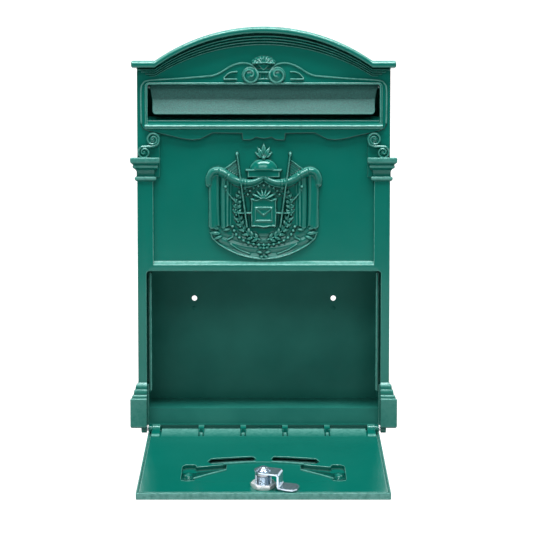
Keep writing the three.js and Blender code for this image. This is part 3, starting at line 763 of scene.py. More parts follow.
VOLUTE = (13.3, 228.6)
BORDER_LINE = [(121.0, 182.0), (121.2, 188.0), (121.2, 213.4), (119.3, 220.2), (112.8, 223.5), (82.0, 225.4),
               (56.0, 227.5), (49.6, 228.3), (42.6, 231.2), (35.0, 236.0), (27.6, 239.3), (20.0, 240.5),
               (12.4, 238.9), (7.9, 235.0)]
APRON = [(0, 165.4), (4.0, 166.2), (7.6, 167.2), (11.6, 164.8), (14.0, 164.4), (21.2, 164.4),
         (21.9, 171.0), (46.0, 171.4), (50.4, 171.3), (56.5, 168.3), (62.6, 165.3), (70.8, 164.3),
         (81.0, 165.8), (92.0, 168.4), (104.5, 171.1), (114.6, 173.4), (119.6, 175.6), (122.2, 180.6)]


def slot_surround():
    piece = Piece()
    line = spline(BORDER_LINE, 6)
    tangent = np.gradient(line, axis=0)
    tangent /= np.linalg.norm(tangent, axis=1, keepdims=True)
    edge = line + np.stack([tangent[:, 1], -tangent[:, 0]], axis=1)
    right = np.vstack([APRON, edge, [[0.0, 236.0]]])
    # painted shade along the border's and apron's edges and walls
    piece.slab([mirrored(right), slot_hole(0.3)], PLATE_BACK + 1, FACE + 1.5, 1.1, wear_and_painted_light=-1.0, side_wear_and_painted_light=-1.0)
    # the raised line, which runs over the top and curls into the volutes
    curl = spiral(VOLUTE, 7.6, 1.4, 162, 450, 60)
    path = np.vstack([line[:-1], curl])
    radius = np.concatenate([np.full(len(line) - 1, 1.0), np.linspace(1.5, 0.9, len(curl))])
    depth = np.concatenate([np.full(len(line) - 1, FACE + 1.7), np.linspace(FACE + 2.8, FACE + 6.0, len(curl))])
    for side in (path, flip(path)):
        piece.tube(at_depth(side, depth), radius, 10, 1.2, wear_and_painted_light=0.75)
    bowl = [(0, -1), (8.5, -1), (8.5, 2.2), (7.9, 3.2), (6.6, 3.6), (4.2, 4.6), (0, 5.4)]
    for x in (VOLUTE[0], -VOLUTE[0]):
        # painted highlight on the bowl's rim, painted shade round its foot
        piece.lathe((x, FACE, VOLUTE[1]), bowl, 36, wear_and_painted_light=[0, -0.5, 0.2, 0.5, -0.2, 0, 0])
    piece.build("slot_border")


def slot_frame():
    """Raised lip over the top and sides of the slot, the sill under it and the shelf behind the sill."""
    piece = Piece()
    h, out = SLOT_HALF, SLOT_HALF + 2.6
    foot, low, high = 178.0, SLOT_TOP - 0.8, SLOT_TOP + 1.3
    lip = fillet([(-out, foot)] + notch(h, foot, low, 2.0) + [(out, foot), (out, high, 4.0), (-out, high, 4.0)])
    piece.slab([lip], FACE - 3, FACE + 3.2, 1.0)
    sill = [(FACE + out_by, z) for out_by, z in (
        (-6, 183.8), (-1.6, 183.6), (4.0, 180.1), (4.6, 179.7), (5.4, 179.2), (5.8, 178.5), (5.3, 177.8),
        (4.2, 177.4), (3.6, 175.9), (2.6, 175.4), (-6, 175.4))]
    # painted highlight on the sill's edge, painted shade under it
    wear_and_painted_light = [0, 0, 0.2, 0.1, 0.2, 1.0, 1.0, 0.5, 0, -0.1, -0.5]
    piece.prism(sill, -h - 3.0, h + 3.0, wear_and_painted_light=wear_and_painted_light, rounding=0.8)
    shelf = [(FACE + out_by, z) for out_by, z in (
        (-14, 188.6), (-13, 188.6), (-4, 185.0), (-4, 182.0), (-14, 182.0))]
    piece.prism(shelf, -h - 1.0, h + 1.0)
    piece.build("slot_frame")


FAN_Z = 240.4  # foot of the fan shell over the volutes


def slot_crest():
    """Fan shell, its stem and the leaf strokes between the volutes."""

    def height(X, Z):
        field = Field(X, Z)
        ax = np.abs(X)
        angle = np.arctan2(Z - 238.0, X)
        reach = np.hypot(X / 12.9, (Z - FAN_Z) / 7.6)
        ribs = 5.6 + 0.7 * np.cos(16 * angle)
        field.lay(np.where(Z > FAN_Z, 1.0, 0.0) * np.sqrt(np.clip(1 - reach ** 2, 0, 1)) * ribs)
        field.stroke([(-10.4, 240.2), (0, 240.8), (10.4, 240.2)], 1.3, 6.0)
        field.lay(np.where((Z < 240) & (ax < 8.0 * np.clip((Z - 232.6) / 7.6, 0, 1)), 3.4 - 0.3 * ax, 0))
        field.lay(np.where((ax < 4.3) & (Z < 232.0) & (Z > 224.5), 2.6 + 0.7 * np.cos(X * 3.6), 0))
        field.stroke([(-5.6, 231.4), (5.6, 231.4)], 1.2, 5.0)
        field.stroke([(-5.0, 224.9), (5.0, 224.9)], 1.0, 3.4)
        blade = stroke(ax, Z, spline([(39.2, 225.8), (35.6, 229.6), (31.5, 231.5), (26.6, 231.9)], 4), 1.0, 3.4)
        dash = stroke(ax, Z, [(39.0, 224.6), (27.0, 224.6)], 1.1, 3.6)
        for part in (blade, dash):
            field.lay(part + 1.5 * (part > 0))
        return FACE - 0.5 + blur(field.height)

    piece = Piece()
    piece.relief((-42, 42), (222.6, 249.6), 0.42, height, FACE - 2)
    piece.build("slot_crest", weighted=False)


# ---- casting: columns and scrolls

# Height and how far the moulding stands out of the column there, from the bottom up, then the paint's wear and
# painted highlight; rows without it get painted shade.
CAPITAL = [(123.4, -0.6, 0), (124.2, 0.5, 0), (124.7, 1.5, 0), (125.7, 2.2, 0.2), (127.0, 2.4, 0.7),
           (128.1, 2.0, 0.8), (128.7, 1.2, 0.2), (129.0, 0.5, 0), (133.4, 0.5, 0), (134.8, 1.0, 0), (136.0, 2.0, 0),
           (136.8, 3.4, 0), (137.3, 4.1, 0.2), (139.3, 4.2, 0.8), (139.7, 3.9, 0.2), (140.1, 3.6, 0),
           (141.3, 4.9, 0), (142.3, 6.0, 0.1), (143.0, 6.4, 0.2), (146.4, 6.5, 0.5), (147.1, 6.1, 1.0),
           (147.5, 5.2, 0.4), (147.6, 4.0, 0)]
PLINTH = [(BASE, 6.6, 0), (BASE + 0.9, 7.4, 0.4), (BASE + 2.0, 7.6, 0.1), (-94.0, 7.6, 0.1), (-93.1, 7.4, 0.6),
          (-92.5, 6.7, 0.3), (-92.2, 6.0, 0), (-91.2, 6.0, 0.1), (-90.0, 5.8, 0.6), (-89.2, 5.0, 0.3),
          (-88.9, 4.3, 0), (-86.6, 4.2, 0.1), (-84.6, 3.9, 0.6), (-83.9, 3.2, 0.2), (-83.6, 2.7, 0),
          (-81.4, 2.6, 0.2), (-79.6, 2.2, 0.7), (-78.4, 1.1, 0.3), (-77.8, 0.3, 0), (-76.6, -0.4, 0)]
SOFT = 0.9  # rounding of a moulding's upright corners


def moulding(piece, table, inner, inner_share, back):
    """Rings of a rectangle with softened corners, each pushed out by the table's projection."""
    rings, worn_and_painted_light = [], []
    for z, out, wear_and_painted_light in table:
        x0, x1, f1 = inner - out * inner_share, BODY_HALF + out, COLUMN_FACE + out
        ring = [(x0, back), (x1, back), (x1, f1 - SOFT), (x1 - 0.3 * SOFT, f1 - 0.3 * SOFT), (x1 - SOFT, f1)]
        corner = [0, 0, 0.2, 0.5, 0.2]
        if inner_share:
            ring += [(x0 + SOFT, f1), (x0 + 0.3 * SOFT, f1 - 0.3 * SOFT), (x0, f1 - SOFT)]
            corner += [0.2, 0.5, 0.2]
        else:
            ring += [(x0, f1)]
            corner += [0.1]
        rings.append([(x, f, z) for x, f in ring])
        # corners get a painted highlight, rows with no wear a painted shade
        worn_and_painted_light.append([0.7 * wear_and_painted_light + 0.6 * c if wear_and_painted_light else -0.3 for c in corner])
    piece.loft(rings, worn_and_painted_light)


def columns():
    piece = Piece()
    moulding(piece, CAPITAL, 108.4, 0.9, FACE - 1)
    moulding(piece, PLINTH, OPENING_HALF + 0.1, 0.0, SKIRT_BACK + 10)
    piece.mirror()
    piece.build("column_mouldings")


def side_scrolls():
    """The S of two volutes above each capital."""
    piece = Piece()
    upper, lower = (109.6, 165.4), (118.5, 152.4)
    out = spiral(upper, 6.0, 0.9, 180 - 6, -560, 56)[::-1]
    link = spline([out[-1], (104.9, 161.0), (109.6, 158.6), (116.0, 158.3), (121.4, 157.6),
                   (123.9, 154.2)], 6)[1:-1]
    back = spiral(lower, 5.4, 0.8, 12, -480, 44)
    # the upper volute opens towards the centre of the panel, the lower one towards the body's edge
    path = np.vstack([out, link, back])
    depth = np.concatenate([np.linspace(FACE + 3.4, FACE + 2.2, len(out)), np.full(len(link), FACE + 2.0),
                            np.linspace(FACE + 2.0, FACE + 3.2, len(back))])
    radius = np.concatenate([np.linspace(0.8, 1.35, len(out)), np.full(len(link), 1.45),
                             np.linspace(1.35, 0.8, len(back))])
    piece.tube(at_depth(path, depth), radius, 9, 1.1, wear_and_painted_light=0.35)
    for (x, z), button in ((upper, [(6.0, -1), (6.0, 1.2), (4.0, 1.8), (1.8, 2.9), (0, 3.6)]),
                           (lower, [(5.2, -1), (5.2, 1.0), (3.6, 1.6), (1.6, 2.7), (0, 3.3)])):
        piece.lathe((x, FACE, z), [(0, -1)] + button, 28)
    piece.mirror()
    piece.build("side_scrolls")


LUG_R = 4.0  # of the hinge's lugs and bosses
EYE_Z = SLOT_TOP - 2.6  # height of the flap's rod


def opening_edges():
    """Stop ribs beside the door opening, the hinge lugs under the plinths and the ears of the flap's rod."""
    piece = Piece()
    rib = fillet([(112.5, -86.0, 1.0), (114.9, -88.0, 1.2), (115.0, 32.6, 0.4), (112.5, 32.6, 0.8)], steps=3)
    piece.slab([rib], SKIRT_BACK + 13, FACE - 5.4, 0.8)
    # behind the rib, then between the pan's lip and the plinth, where the view is closed
    for x0, x1, z0, z1, back, front in ((114.0, 124.0, -88.0, 33.0, SKIRT_BACK + 12, SKIRT_BACK + 15),
                                        (115.6, 118.6, BASE + 0.6, -80.0, SKIRT_BACK + 6, FACE - 5)):
        piece.slab([np.array([(x0, z0), (x1, z0), (x1, z1), (x0, z1)])], back, front, 0.3)
    axis_f, axis_z = -HINGE.y / MM, HINGE.z / MM
    lug = [(axis_f + LUG_R * math.cos(a), axis_z + LUG_R * math.sin(a)) for a in np.linspace(0, -math.pi, 15)]
    lug = [(axis_f + LUG_R, BASE + 3)] + lug + [(axis_f - LUG_R, BASE + 3)]
    piece.prism(lug, OPENING_HALF + 0.8, OPENING_HALF + 6.4, rounding=0.6)
    near, far, low, high = PLATE_BACK + 1, PLATE_BACK - 7, EYE_Z - 4, EYE_Z + 6
    piece.prism([(near, low), (near, high), (far, high), (far, low)], FLAP_HIGH[0] + 1, FLAP_HIGH[0] + 3.6,
                rounding=0.5)
    piece.mirror()
    piece.build("opening_edges")


# ---- casting: crest

MANTLE = [(0, 46.4), (14.6, 48.2), (26.0, 51.6), (36.5, 56.6), (44.0, 61.0), (50.8, 67.2), (52.5, 72.0),
          (55.6, 79.0), (55.2, 100.0), (55.6, 124.0), (48.0, 133.0), (33.0, 124.0), (18.0, 121.0), (0, 127.0)]
ROLL = [(0, 128.6), (4.0, 126.0), (11.0, 123.2), (20.0, 122.8), (29.0, 125.6), (38.0, 131.2), (45.0, 134.2),
        (51.0, 132.6), (54.2, 127.0), (54.4, 121.6)]
SHIELD = [(0, 77.6), (6.0, 78.6), (12.8, 78.4), (13.2, 92.0), (12.8, 103.0), (13.8, 107.4), (7.4, 106.2),
          (0, 108.4)]
LAUREL = [(4.0, 66.0), (13.0, 70.0), (20.4, 78.0), (24.6, 88.0), (26.0, 98.0), (24.4, 108.0), (20.6, 114.6)]
STAFF = [(16.6, 79.0), (26.4, 151.0)]
PENNANT = [(25.6, 146.0), (34.0, 139.6), (42.6, 133.6), (36.0, 127.0), (23.0, 122.0)]
# Where the curtain's folds meet: distance from the middle, depth and width of the groove.
GROOVES = [(43.4, 2.2, 0.9), (37.4, 1.7, 0.8), (33.6, 1.5, 0.7), (49.8, 0.5, 1.6)]


def crest_height(X, Z):
    """Mantle, plain shield with an envelope, staffs with pennants, laurel, shells and beads; symmetric in X."""
    ax = np.abs(X)
    field = Field(ax, Z)

    # cloth: folds hang from the roll and gather at the hem
    inside = depth_inside(ax, Z, MANTLE + [(-6, 127.0), (-6, 46.4)])
    fall = np.clip((124 - Z) / 45, 0, 1)
    drift = ax + 3.0 * fall ** 2 * np.clip((ax - 30) / 25, 0, 1)
    folds = 3.6 + 1.0 * np.cos((ax - 49.6) * 2 * math.pi / 12)
    for place, deep, width in GROOVES:
        folds -= deep * np.exp(-((drift - place - 1.2 * fall) / width) ** 2)
    curtain = ramp(ax - 30.5, 3.0) * ramp(Z - 77.5 - 1.6 * np.cos(ax * 0.55), 1.2)
    sweep = np.hypot(ax * 0.86, Z - 128.0)
    lower = 1.2 + 0.6 * np.cos((sweep - 71.5) * 2 * math.pi / 8.0) * ramp(76 - Z, 8)
    field.height = (lower + (folds + 0.6 - lower) * curtain) * ramp(inside, 1.2)
    field.stroke(MANTLE[:7], 1.1, 3.2)
    # curled hem below the curtains
    for root, angle, length, width in (((43.8, 76.0), 24, 13, 2.4), ((42.6, 71.6), 8, 12.6, 2.5),
                                       ((44.0, 80.0), 2, 12, 2.0), ((33.0, 76.4), -6, 9.5, 1.7),
                                       ((41.0, 69.8), -22, 11.0, 2.0)):
        field.leaf(root, angle, length, width, 6.0)
    field.stroke([(31.0, 68.6), (36.0, 65.8)], 1.0, 3.8)
    field.stroke(spline([(14.0, 52.0), (24.0, 55.8), (33.0, 61.4)], 5), 0.9, 2.9)
    # the rolled top, with narrow tucks
    path = spline(ROLL, 5)
    distance, along = segment_distance(ax, Z, path)
    thick = 3.0 + 1.8 * np.sin(np.clip(along, 0, 1) * math.pi * 0.86)
    roll = np.sqrt(np.clip(1 - (distance / thick) ** 2, 0, 1)) * (6.2 + 2.6 * np.sin(along * math.pi))
    for place in (0.27, 0.31, 0.58, 0.72):
        roll *= 1 - 0.12 * np.exp(-((along - place) / 0.007) ** 2)
    field.lay(roll)
    under = path + np.array([0.6, -4.4])
    field.stroke(under[:-12], 0.9, 4.6)
    # tassels tied under the roll
    field.dome((37.9, 118.6), 2.4, 2.4, 7.4)
    field.dome((37.4, 115.4), 1.7, 1.5, 5.4)
    field.stroke([(36.0, 113.4), (32.6, 108.6), (29.6, 105.4)], 0.85, 5.0)
    # plain staffs with a ball and a pennant
    pennant = depth_inside(ax, Z, PENNANT)
    field.lay((2.6 + 0.35 * np.cos((ax * 0.8 + Z) * 2.2)) * ramp(pennant, 0.8))
    field.stroke(PENNANT[:3], 0.75, 4.2)
    field.stroke(STAFF, 1.25, 9.6, 1.1)
    field.dome(STAFF[1], 1.9, 2.4, 8.6)
    # laurel
    laurel = spline(LAUREL, 6)
    field.stroke(laurel, 1.1, 4.4, 0.7)
    heading = np.degrees(np.arctan2(*np.gradient(laurel, axis=0).T[::-1]))
    for k in range(11):
        i = int((0.03 + 0.088 * k) * (len(laurel) - 1))
        for turn in (-42, 40):
            field.leaf(laurel[i], heading[i] + turn, 8.8 - 0.22 * k, 2.1, 6.2)
        field.dome(laurel[i] + np.array([1.9, -0.8]), 1.3, 1.3, 6.6)
    field.leaf(laurel[-1], heading[-1], 8, 2.2, 5.6)
    # ribbon ends beside the shield
    field.stroke([(13.4, 92.6), (25.4, 92.2)], 1.1, 6.8)
    field.stroke([(25.4, 92.2), (24.0, 88.8)], 0.9, 5.6)
    # bead chain under the shield, its bow and its drop
    chain = spline([(31.0, 79.0), (27.4, 71.0), (20.0, 65.0), (10.0, 61.4), (0, 60.4)], 6)
    for p in chain[::3]:
        field.dome(p, 1.75, 1.75, 6.4)
    field.stroke(chain, 0.6, 3.6)
    for root, angle, length in (((0.6, 57.6), 8, 6.4), ((0.6, 52.8), 10, 7.4), ((0.0, 49.0), -4, 5.0)):
        field.leaf(root, angle, length, 1.7, 5.6)
    field.lay(dome(X, Z, (0, 57.6), 1.8, 1.8, 6.4))
    # shield with a raised rim, and an envelope on it
    shield = depth_inside(ax, Z, SHIELD + [(-6, 108.4), (-6, 77.6)])
    field.lay(5.4 * ramp(shield, 1.0))
    field.lay(7.4 * ramp(shield, 0.8) * (1 - ramp(shield - 1.2, 0.7)))
    plate = shield > 2.2
    for line in ([(0, 84.6), (8.2, 84.6), (8.2, 97.6), (0, 97.6)], [(8.2, 97.6), (0, 90.4)]):
        ridge = np.where(plate, stroke(ax, Z, line, 0.75, 1.4), 0)
        field.lay(ridge + 5.2 * (ridge > 0.02))
    # shell over the shield
    angle = np.arctan2(Z - 106.0, X)
    reach = np.hypot(X / 14.6, (Z - 106.0) / 10.6)
    ribs = 0.86 + 0.14 * np.cos(14 * angle)
    fan = np.sqrt(np.clip(1 - (reach / ribs) ** 2, 0, 1)) * (7.6 + 1.1 * np.cos(14 * angle))
    field.lay(np.where(Z > 106.6, fan, 0))
    for k in range(9):
        a = math.radians(14 + 19 * k)
        field.lay(dome(X, Z, (16.2 * math.cos(a), 108.0 + 11.8 * math.sin(a)), 1.4, 1.4, 6.4))
    # crowning shell on its band, with a leaf bud
    field.lay(6.0 * ramp(np.minimum(16.6 - ax, np.minimum(Z - 127.2, 134.6 - Z)), 0.9))
    field.stroke([(0, 135.0), (17.2, 135.0)], 1.3, 7.6)
    reach = np.hypot(X / 14.4, (Z - 135.4) / 11.4)
    hood = np.sqrt(np.clip(1 - reach ** 2, 0, 1)) * 9.4
    field.lay(np.where(Z > 135.4, hood, 0))
    for turn, length, width in ((90, 16.4, 3.4), (62, 14.0, 2.8), (118, 14.0, 2.8),
                                (36, 11.5, 2.2), (144, 11.5, 2.2)):
        field.lay(leaf(X, Z, (0, 146.4), turn, length, width, 6.4))
    field.lay(dome(X, Z, (0, 147.2), 2.6, 2.2, 7.4))
    return field.height


def crest():
    piece = Piece()
    step = 0.45

    def height(X, Z):
        field = blur(crest_height(X, Z), 1)
        return PANEL_FACE - 0.4 + np.where(field > 0.02, field, 0)

    piece.relief((-58.5, 58.5), (45.2, 164.4), step, height, PANEL_FACE - 2.2)
    piece.build("crest", weighted=False)


# ---- slot flap

# Height and front distance of the flap's face, from the top down: a drop, then a lip that flares outwards.
FLAP_FACE = [(SLOT_TOP + 0.2, -5.9), (SLOT_TOP - 4, -5.5), (SLOT_TOP - 9, -5.1), (SLOT_TOP - 13.4, -4.7),
             (SLOT_TOP - 14.6, -4.2), (SLOT_TOP - 16.0, -3.2), (SLOT_TOP - 22.0, -0.6), (SLOT_TOP - 27.0, 1.8),
             (SLOT_TOP - 29.0, 2.7), (SLOT_TOP - 29.7, 2.8), (SLOT_TOP - 30.1, 2.3), (SLOT_TOP - 30.2, 1.2)]
LIP_INSET = 3.2  # how far the lip's ends are drawn in


def slot_flap():
    piece = Piece()
    rings, worn_and_painted_light = [], []
    low, corner = FLAP_FACE[-1][0], 4.0
    for i, (z, f) in enumerate(FLAP_FACE):
        lift = max(0.0, corner - (z - low))  # how far into the lip's rounded corners
        inset_here = LIP_INSET * min(1.0, max(0.0, (SLOT_TOP - z) / 18.0))
        half = FLAP_HIGH[0] - inset_here - (corner - math.sqrt(max(0.0, corner ** 2 - lift ** 2)))
        front = FACE + f
        thick = 2.3 if i < len(FLAP_FACE) - 1 else 1.2
        soft = [(half, 0.9), (half - 0.25, 0.35), (half - 0.7, 0.08), (half - 1.5, 0.0)]
        ring = [(x, front - d, z) for x, d in soft] + [(0.0, front, z)]
        ring += [(-x, front - d, z) for x, d in soft[::-1]]
        ring += [(-half, front - thick, z), (-half + 3, front - thick - 0.1, z),
                 (half - 3, front - thick - 0.1, z), (half, front - thick, z)]
        rings.append(ring)
        # painted highlight on the flap's side edges and on its flared lip
        lip = 0.35 if 8 <= i <= 10 else 0.0
        worn_and_painted_light.append([0.3, 0.6, 0.4, lip, lip, lip, 0.4, 0.6, 0.3] + [0] * 4)
    piece.loft(rings, worn_and_painted_light)
    eye = circle((-joint("flap_hinge")["pos_m"][1] / MM, EYE_Z), 2.9, 24)
    for x0, x1 in ((-FLAP_HIGH[0], -80), (-30, 30), (80, FLAP_HIGH[0])):
        piece.prism(eye, x0, x1, rounding=0.4)
    piece.build("flap_leaf", "flap", "flap_paint", ["slot_flap"])


# ---- door

SLOT_RISE = 7.0  # half height of a viewing slot
PENDANT_X, PENDANT_LOW, PENDANT_HIGH, PENDANT_R = 70.4, 96.4, 123.6, 6.4
SKIN = 1.5  # thickness of the sheets round the viewing slots
INWARD_PLACE = OPENED @ Matrix.Diagonal((MM, MM, MM, 1))  # for shapes whose f is the depth into the box


def both_sides(outline):
    """A clockwise outline and its mirror image, which is clockwise too."""
    return [outline, flip(outline)[::-1]]


def viewing_slots():
    """The viewing slots, pointed at both ends."""
    rise = SLOT_RISE
    return both_sides(fillet([(7.2, 75.6), (11.0, 76.2 + rise), (30.0, 78.2 + rise), (49.4, 81.6 + rise),
                              (53.4, 82.6), (50.2, 81.8 - rise), (30.0, 78.4 - rise), (10.4, 76.0 - rise)],
                             1.6, 3))


def pocket_outlines():
    """The long pockets with the tapered troughs beside them."""
    x, low, high, r = PENDANT_X, PENDANT_LOW, PENDANT_HIGH, PENDANT_R
    return both_sides(fillet([(x + r, low - r + 0.4, 5.8), (x - r, low - r + 0.4, 5.8), (x - r, 96.4, 1.2),
                              (35.0, 89.6, 1.2), (35.4, 103.6, 1.2), (x - r, 124.0, 1.4),
                              (x - r + 0.4, high + r, 5.4), (x + r, high + r, 5.8)]))


def slot_cavities():
    """The hollows between the two sheets, wider than the slots and open towards the hinge."""
    return both_sides(fillet([(4.0, 56.0), (4.0, 84.6), (30.0, 87.0), (50.0, 90.4), (57.0, 86.0), (57.0, 60.0)],
                             2.0, 3))


def lock_hole():
    angles = np.linspace(0, -2 * math.pi, 41)[:-1]
    return np.stack([8.3 * np.cos(angles), LOCK_HEIGHT + 8.3 * np.sin(angles)], axis=1)


def door_plate(half, low, high, radius):
    return fillet([(-half, low, 0.5), (half, low, 0.5), (half, high, radius), (-half, high, radius)])


def door_panel():
    """Two sheets back to back: the outer one is whole, the inner one is pierced by the sunk relief."""
    slots, cavities, pockets, hole = viewing_slots(), slot_cavities(), pocket_outlines(), [lock_hole()]
    step, rim, middle = 3.0, 1.5, -5.4  # the inner sheet's step, the rim's width, where the two sheets meet
    inward = Piece()
    sheet = [door_plate(DOOR_HALF - step, 0.4, DOOR_TOP - step, 1.0)]
    inward.slab(sheet + hole + slots + pockets, -DOOR_INNER - SKIN, -DOOR_INNER, 0.5)
    inward.slab(sheet + hole + cavities + pockets, middle, -DOOR_INNER - SKIN + 0.05, 0.02)
    rim_in = fillet(notch(DOOR_HALF - rim, 1.6, DOOR_TOP - rim, 0.8))
    # the rim's walls get a painted highlight
    inward.slab([door_plate(DOOR_HALF, 0.2, DOOR_TOP, 1.4), rim_in], middle, -DOOR_INNER + 0.2, 0.5,
                side_wear_and_painted_light=0.65)
    inward.build("door_inner_sheet", "door", replaces=["door_panel"], place=INWARD_PLACE)

    outward = Piece()
    plate = [door_plate(DOOR_HALF, -2.2, DOOR_TOP, 1.4)]
    core_top = DOOR_OUTER - SKIN
    # the sheets' walls get a painted highlight
    outward.slab(plate + hole + cavities + pockets, 5.0, core_top, 0.01, side_wear_and_painted_light=0.65)
    outward.slab(plate + hole + slots, core_top - 0.05, DOOR_OUTER, 0.6, side_wear_and_painted_light=0.65)
    outward.build("door_outer_sheet", "door", place=DOOR_PLACE)


def door_hinge_side():
    """Flange, ledge, gussets and hinge bosses along the hinged edge, on the inner face."""
    piece = Piece()
    inner = -DOOR_INNER
    flange = [(inner - 4, -2.4), (4.0, -2.4), (4.6, -1.9), (4.7, -1.2), (4.4, -0.4), (3.4, 0.0),
              (inner - 4, 0.4)]
    # painted shade on the flange, which lies under the lip
    wear_and_painted_light = [-0.6, 0.0, 0.3, 0.0, -0.6, -0.7, -0.7]
    piece.prism(flange, -DOOR_HALF + 0.3, DOOR_HALF - 0.3, wear_and_painted_light=wear_and_painted_light, rounding=0.6)
    ledge = [(inner + over, z) for over, z in (
        (-3, -1.0), (1.3, -1.0), (2.0, -0.3), (2.1, 1.2), (1.9, 3.4), (1.2, 9.0), (0.6, 14.6), (-0.1, 19.4),
        (-3, 19.6))]
    # painted highlight along the ledge's top, painted shade at its foot
    piece.prism(ledge, -102.6, 102.6, wear_and_painted_light=[-0.7, -0.6, 1.0, 1.0, 0.7, 0.45, 0.2, 0, 0], rounding=0.5)
    block = [(inner - 2, -1.0), (4.0, -1.0), (4.3, 0.2), (3.9, 3.4), (3.0, 6.6), (inner + 1.0, 8.4),
             (inner - 2, 8.6)]
    leg = [(inner - 2, 6.0), (inner + 4.2, 6.0), (inner + 3.4, 12.0), (inner + 1.4, 16.4), (inner - 2, 17.0)]
    for x in (-62.6, -20.6, 21.4, 63.6):
        # painted shade at the gussets' feet
        piece.prism(block, x - 3.0, x + 3.0, wear_and_painted_light=[0, 0.2, 0.5, 0.2, -0.2, -0.6, -0.6], rounding=0.6)
        for middle in (x - 2.1, x + 2.1):
            piece.prism(leg, middle - 0.6, middle + 0.6, wear_and_painted_light=[-0.7, 0, -0.3, -0.8, -0.8], rounding=0.3)
    boss = [(inner - 3, -2.0), (4.2, -2.0), (4.6, -1.4), (4.6, 1.0), (3.8, 2.4), (inner + 2.6, 6.4),
            (inner + 1.6, 12.6), (inner + 1.4, 15.0), (inner + 0.5, 16.6), (inner - 3, 17.0)]
    # painted highlight on the bosses' lower fillet
    wear_and_painted_light = [0, 0.3, 0.6, 0.3, 0.1, 0, 0, 1.0, 1.0, 0]
    for side in (1, -1):
        piece.prism(boss, *sorted((side * 104.0, side * 112.4)), wear_and_painted_light=wear_and_painted_light, rounding=0.8)
        piece.prism(circle((0, 0), LUG_R, 24), *sorted((side * 104.4, side * DOOR_HALF)), rounding=0.5)
    piece.build("door_hinge_edge", "door", place=INWARD_PLACE)


def door_pockets():
    """Dished floors of the long pockets and of the troughs beside them, and the raised line between them."""
    piece = Piece()
    inner = -DOOR_INNER

    def floor(X, Z):
        rise = np.clip((Z - 91.0) / 40.0, 0, 1)
        deep = 5.2 - 4.5 * rise ** 1.6
        bulge = dome(X, Z, (PENDANT_X, 110.0), 5.0, 8.0, 3.2)
        high = np.interp(X, [34.0, 64.0], [89.2, 96.4])
        low = np.interp(X, [34.0, 64.0], [103.8, 124.0])
        slope = np.clip((Z - high) / (low - high), 0, 1)
        trough = 5.0 - 4.6 * slope ** 1.3
        return inner - np.where(X > PENDANT_X - PENDANT_R - 0.4, deep, trough) + bulge

    def shade(X, Z):
        # painted shade over the pocket floors and troughs, a painted highlight on the knob
        knob_highlight = np.exp(-((X - PENDANT_X) / 3.6) ** 2 - ((Z - 113.0) / 5.0) ** 2)
        near = np.interp(X, [34.0, 64.0], [98.0, 112.0])
        trough = np.clip((Z - near) / 8.0, -1, 1)
        return np.where(X > PENDANT_X - PENDANT_R - 0.4, 1.0 * knob_highlight - 0.7, 0.75 * trough - 0.15)

    piece.relief((34.4, PENDANT_X + 7.6), (88.0, 131.6), 0.6, floor, -7.4, shade)

    def line(points, over, radius):
        piece.tube(at_depth(spline(points, 6), inner + over), radius, 8)

    # raised lines with a painted highlight along the near edges, then the raised line over the viewing slots
    line([(35.8, 104.6), (50.0, 114.4), (PENDANT_X - PENDANT_R, 124.8)], 0.1, 1.2)
    line([(PENDANT_X - 5.6, 129.6), (PENDANT_X, 131.0), (PENDANT_X + 5.6, 129.6)], 0, 0.5)
    line([(37.0, 90.0), (26.0, 87.8), (16.0, 86.0), (8.6, 85.0)], 0.1, 1.35)
    piece.mirror()
    line([(8.4, 85.0), (0, 84.6), (-8.4, 85.0)], 0, 0.7)
    piece.build("door_pockets", "door", place=INWARD_PLACE)


def door_garland():
    """Outside of the door: a draped garland of leaves between two long pendants."""

    def height(X, Z):
        ax = np.abs(X)
        field = Field(ax, Z)
        line = spline([(0, 90.0), (18, 91.4), (36, 96.6), (54, 104.6), (66, 111.0)], 6)
        distance, along = segment_distance(ax, Z, line)
        thick = 5.6 + 5.0 * along
        cloth = np.sqrt(np.clip(1 - (distance / thick) ** 2, 0, 1)) * 3.0
        field.lay(cloth * (0.84 + 0.16 * np.cos(distance / thick * 9.0)))
        for k in range(12):
            i = int((0.04 + 0.08 * k) * (len(line) - 1))
            for turn in (-150, 150):
                field.leaf(line[i] + np.array([3.0, 0.8]), 24 + turn, 8.5 + 0.3 * k, 2.2, 4.2)
        # a rosette, and three drops below it
        middle = (PENDANT_X, 118.0)
        field.dome(middle, 8.4, 8.4, 3.6)
        lobes = np.cos(8 * np.arctan2(Z - middle[1], ax - middle[0]))
        petals = np.clip(1 - np.hypot(ax - middle[0], Z - middle[1]) / (7.6 + 0.8 * lobes), 0, 1)
        field.lay(np.where(petals > 0, 3.4 + 1.1 * np.sqrt(petals) * (1 + 0.3 * lobes), 0))
        field.dome(middle, 2.4, 2.4, 5.4)
        for k, (z, width) in enumerate(((107.0, 7.2), (100.6, 6.2), (94.4, 4.8))):
            field.dome((PENDANT_X, z), width, 4.4, 3.4 - 0.3 * k)
            field.leaf((PENDANT_X, z + 4), -90, 8.0, 2.6, 4.2 - 0.3 * k)
        return DOOR_OUTER - 0.5 + blur(field.height, 2)

    piece = Piece()
    piece.relief((-81, 81), (84.8, 128.6), 0.65, height, DOOR_OUTER - 1.6)
    piece.build("door_garland", "door", place=DOOR_PLACE, weighted=False)


# ---- lock

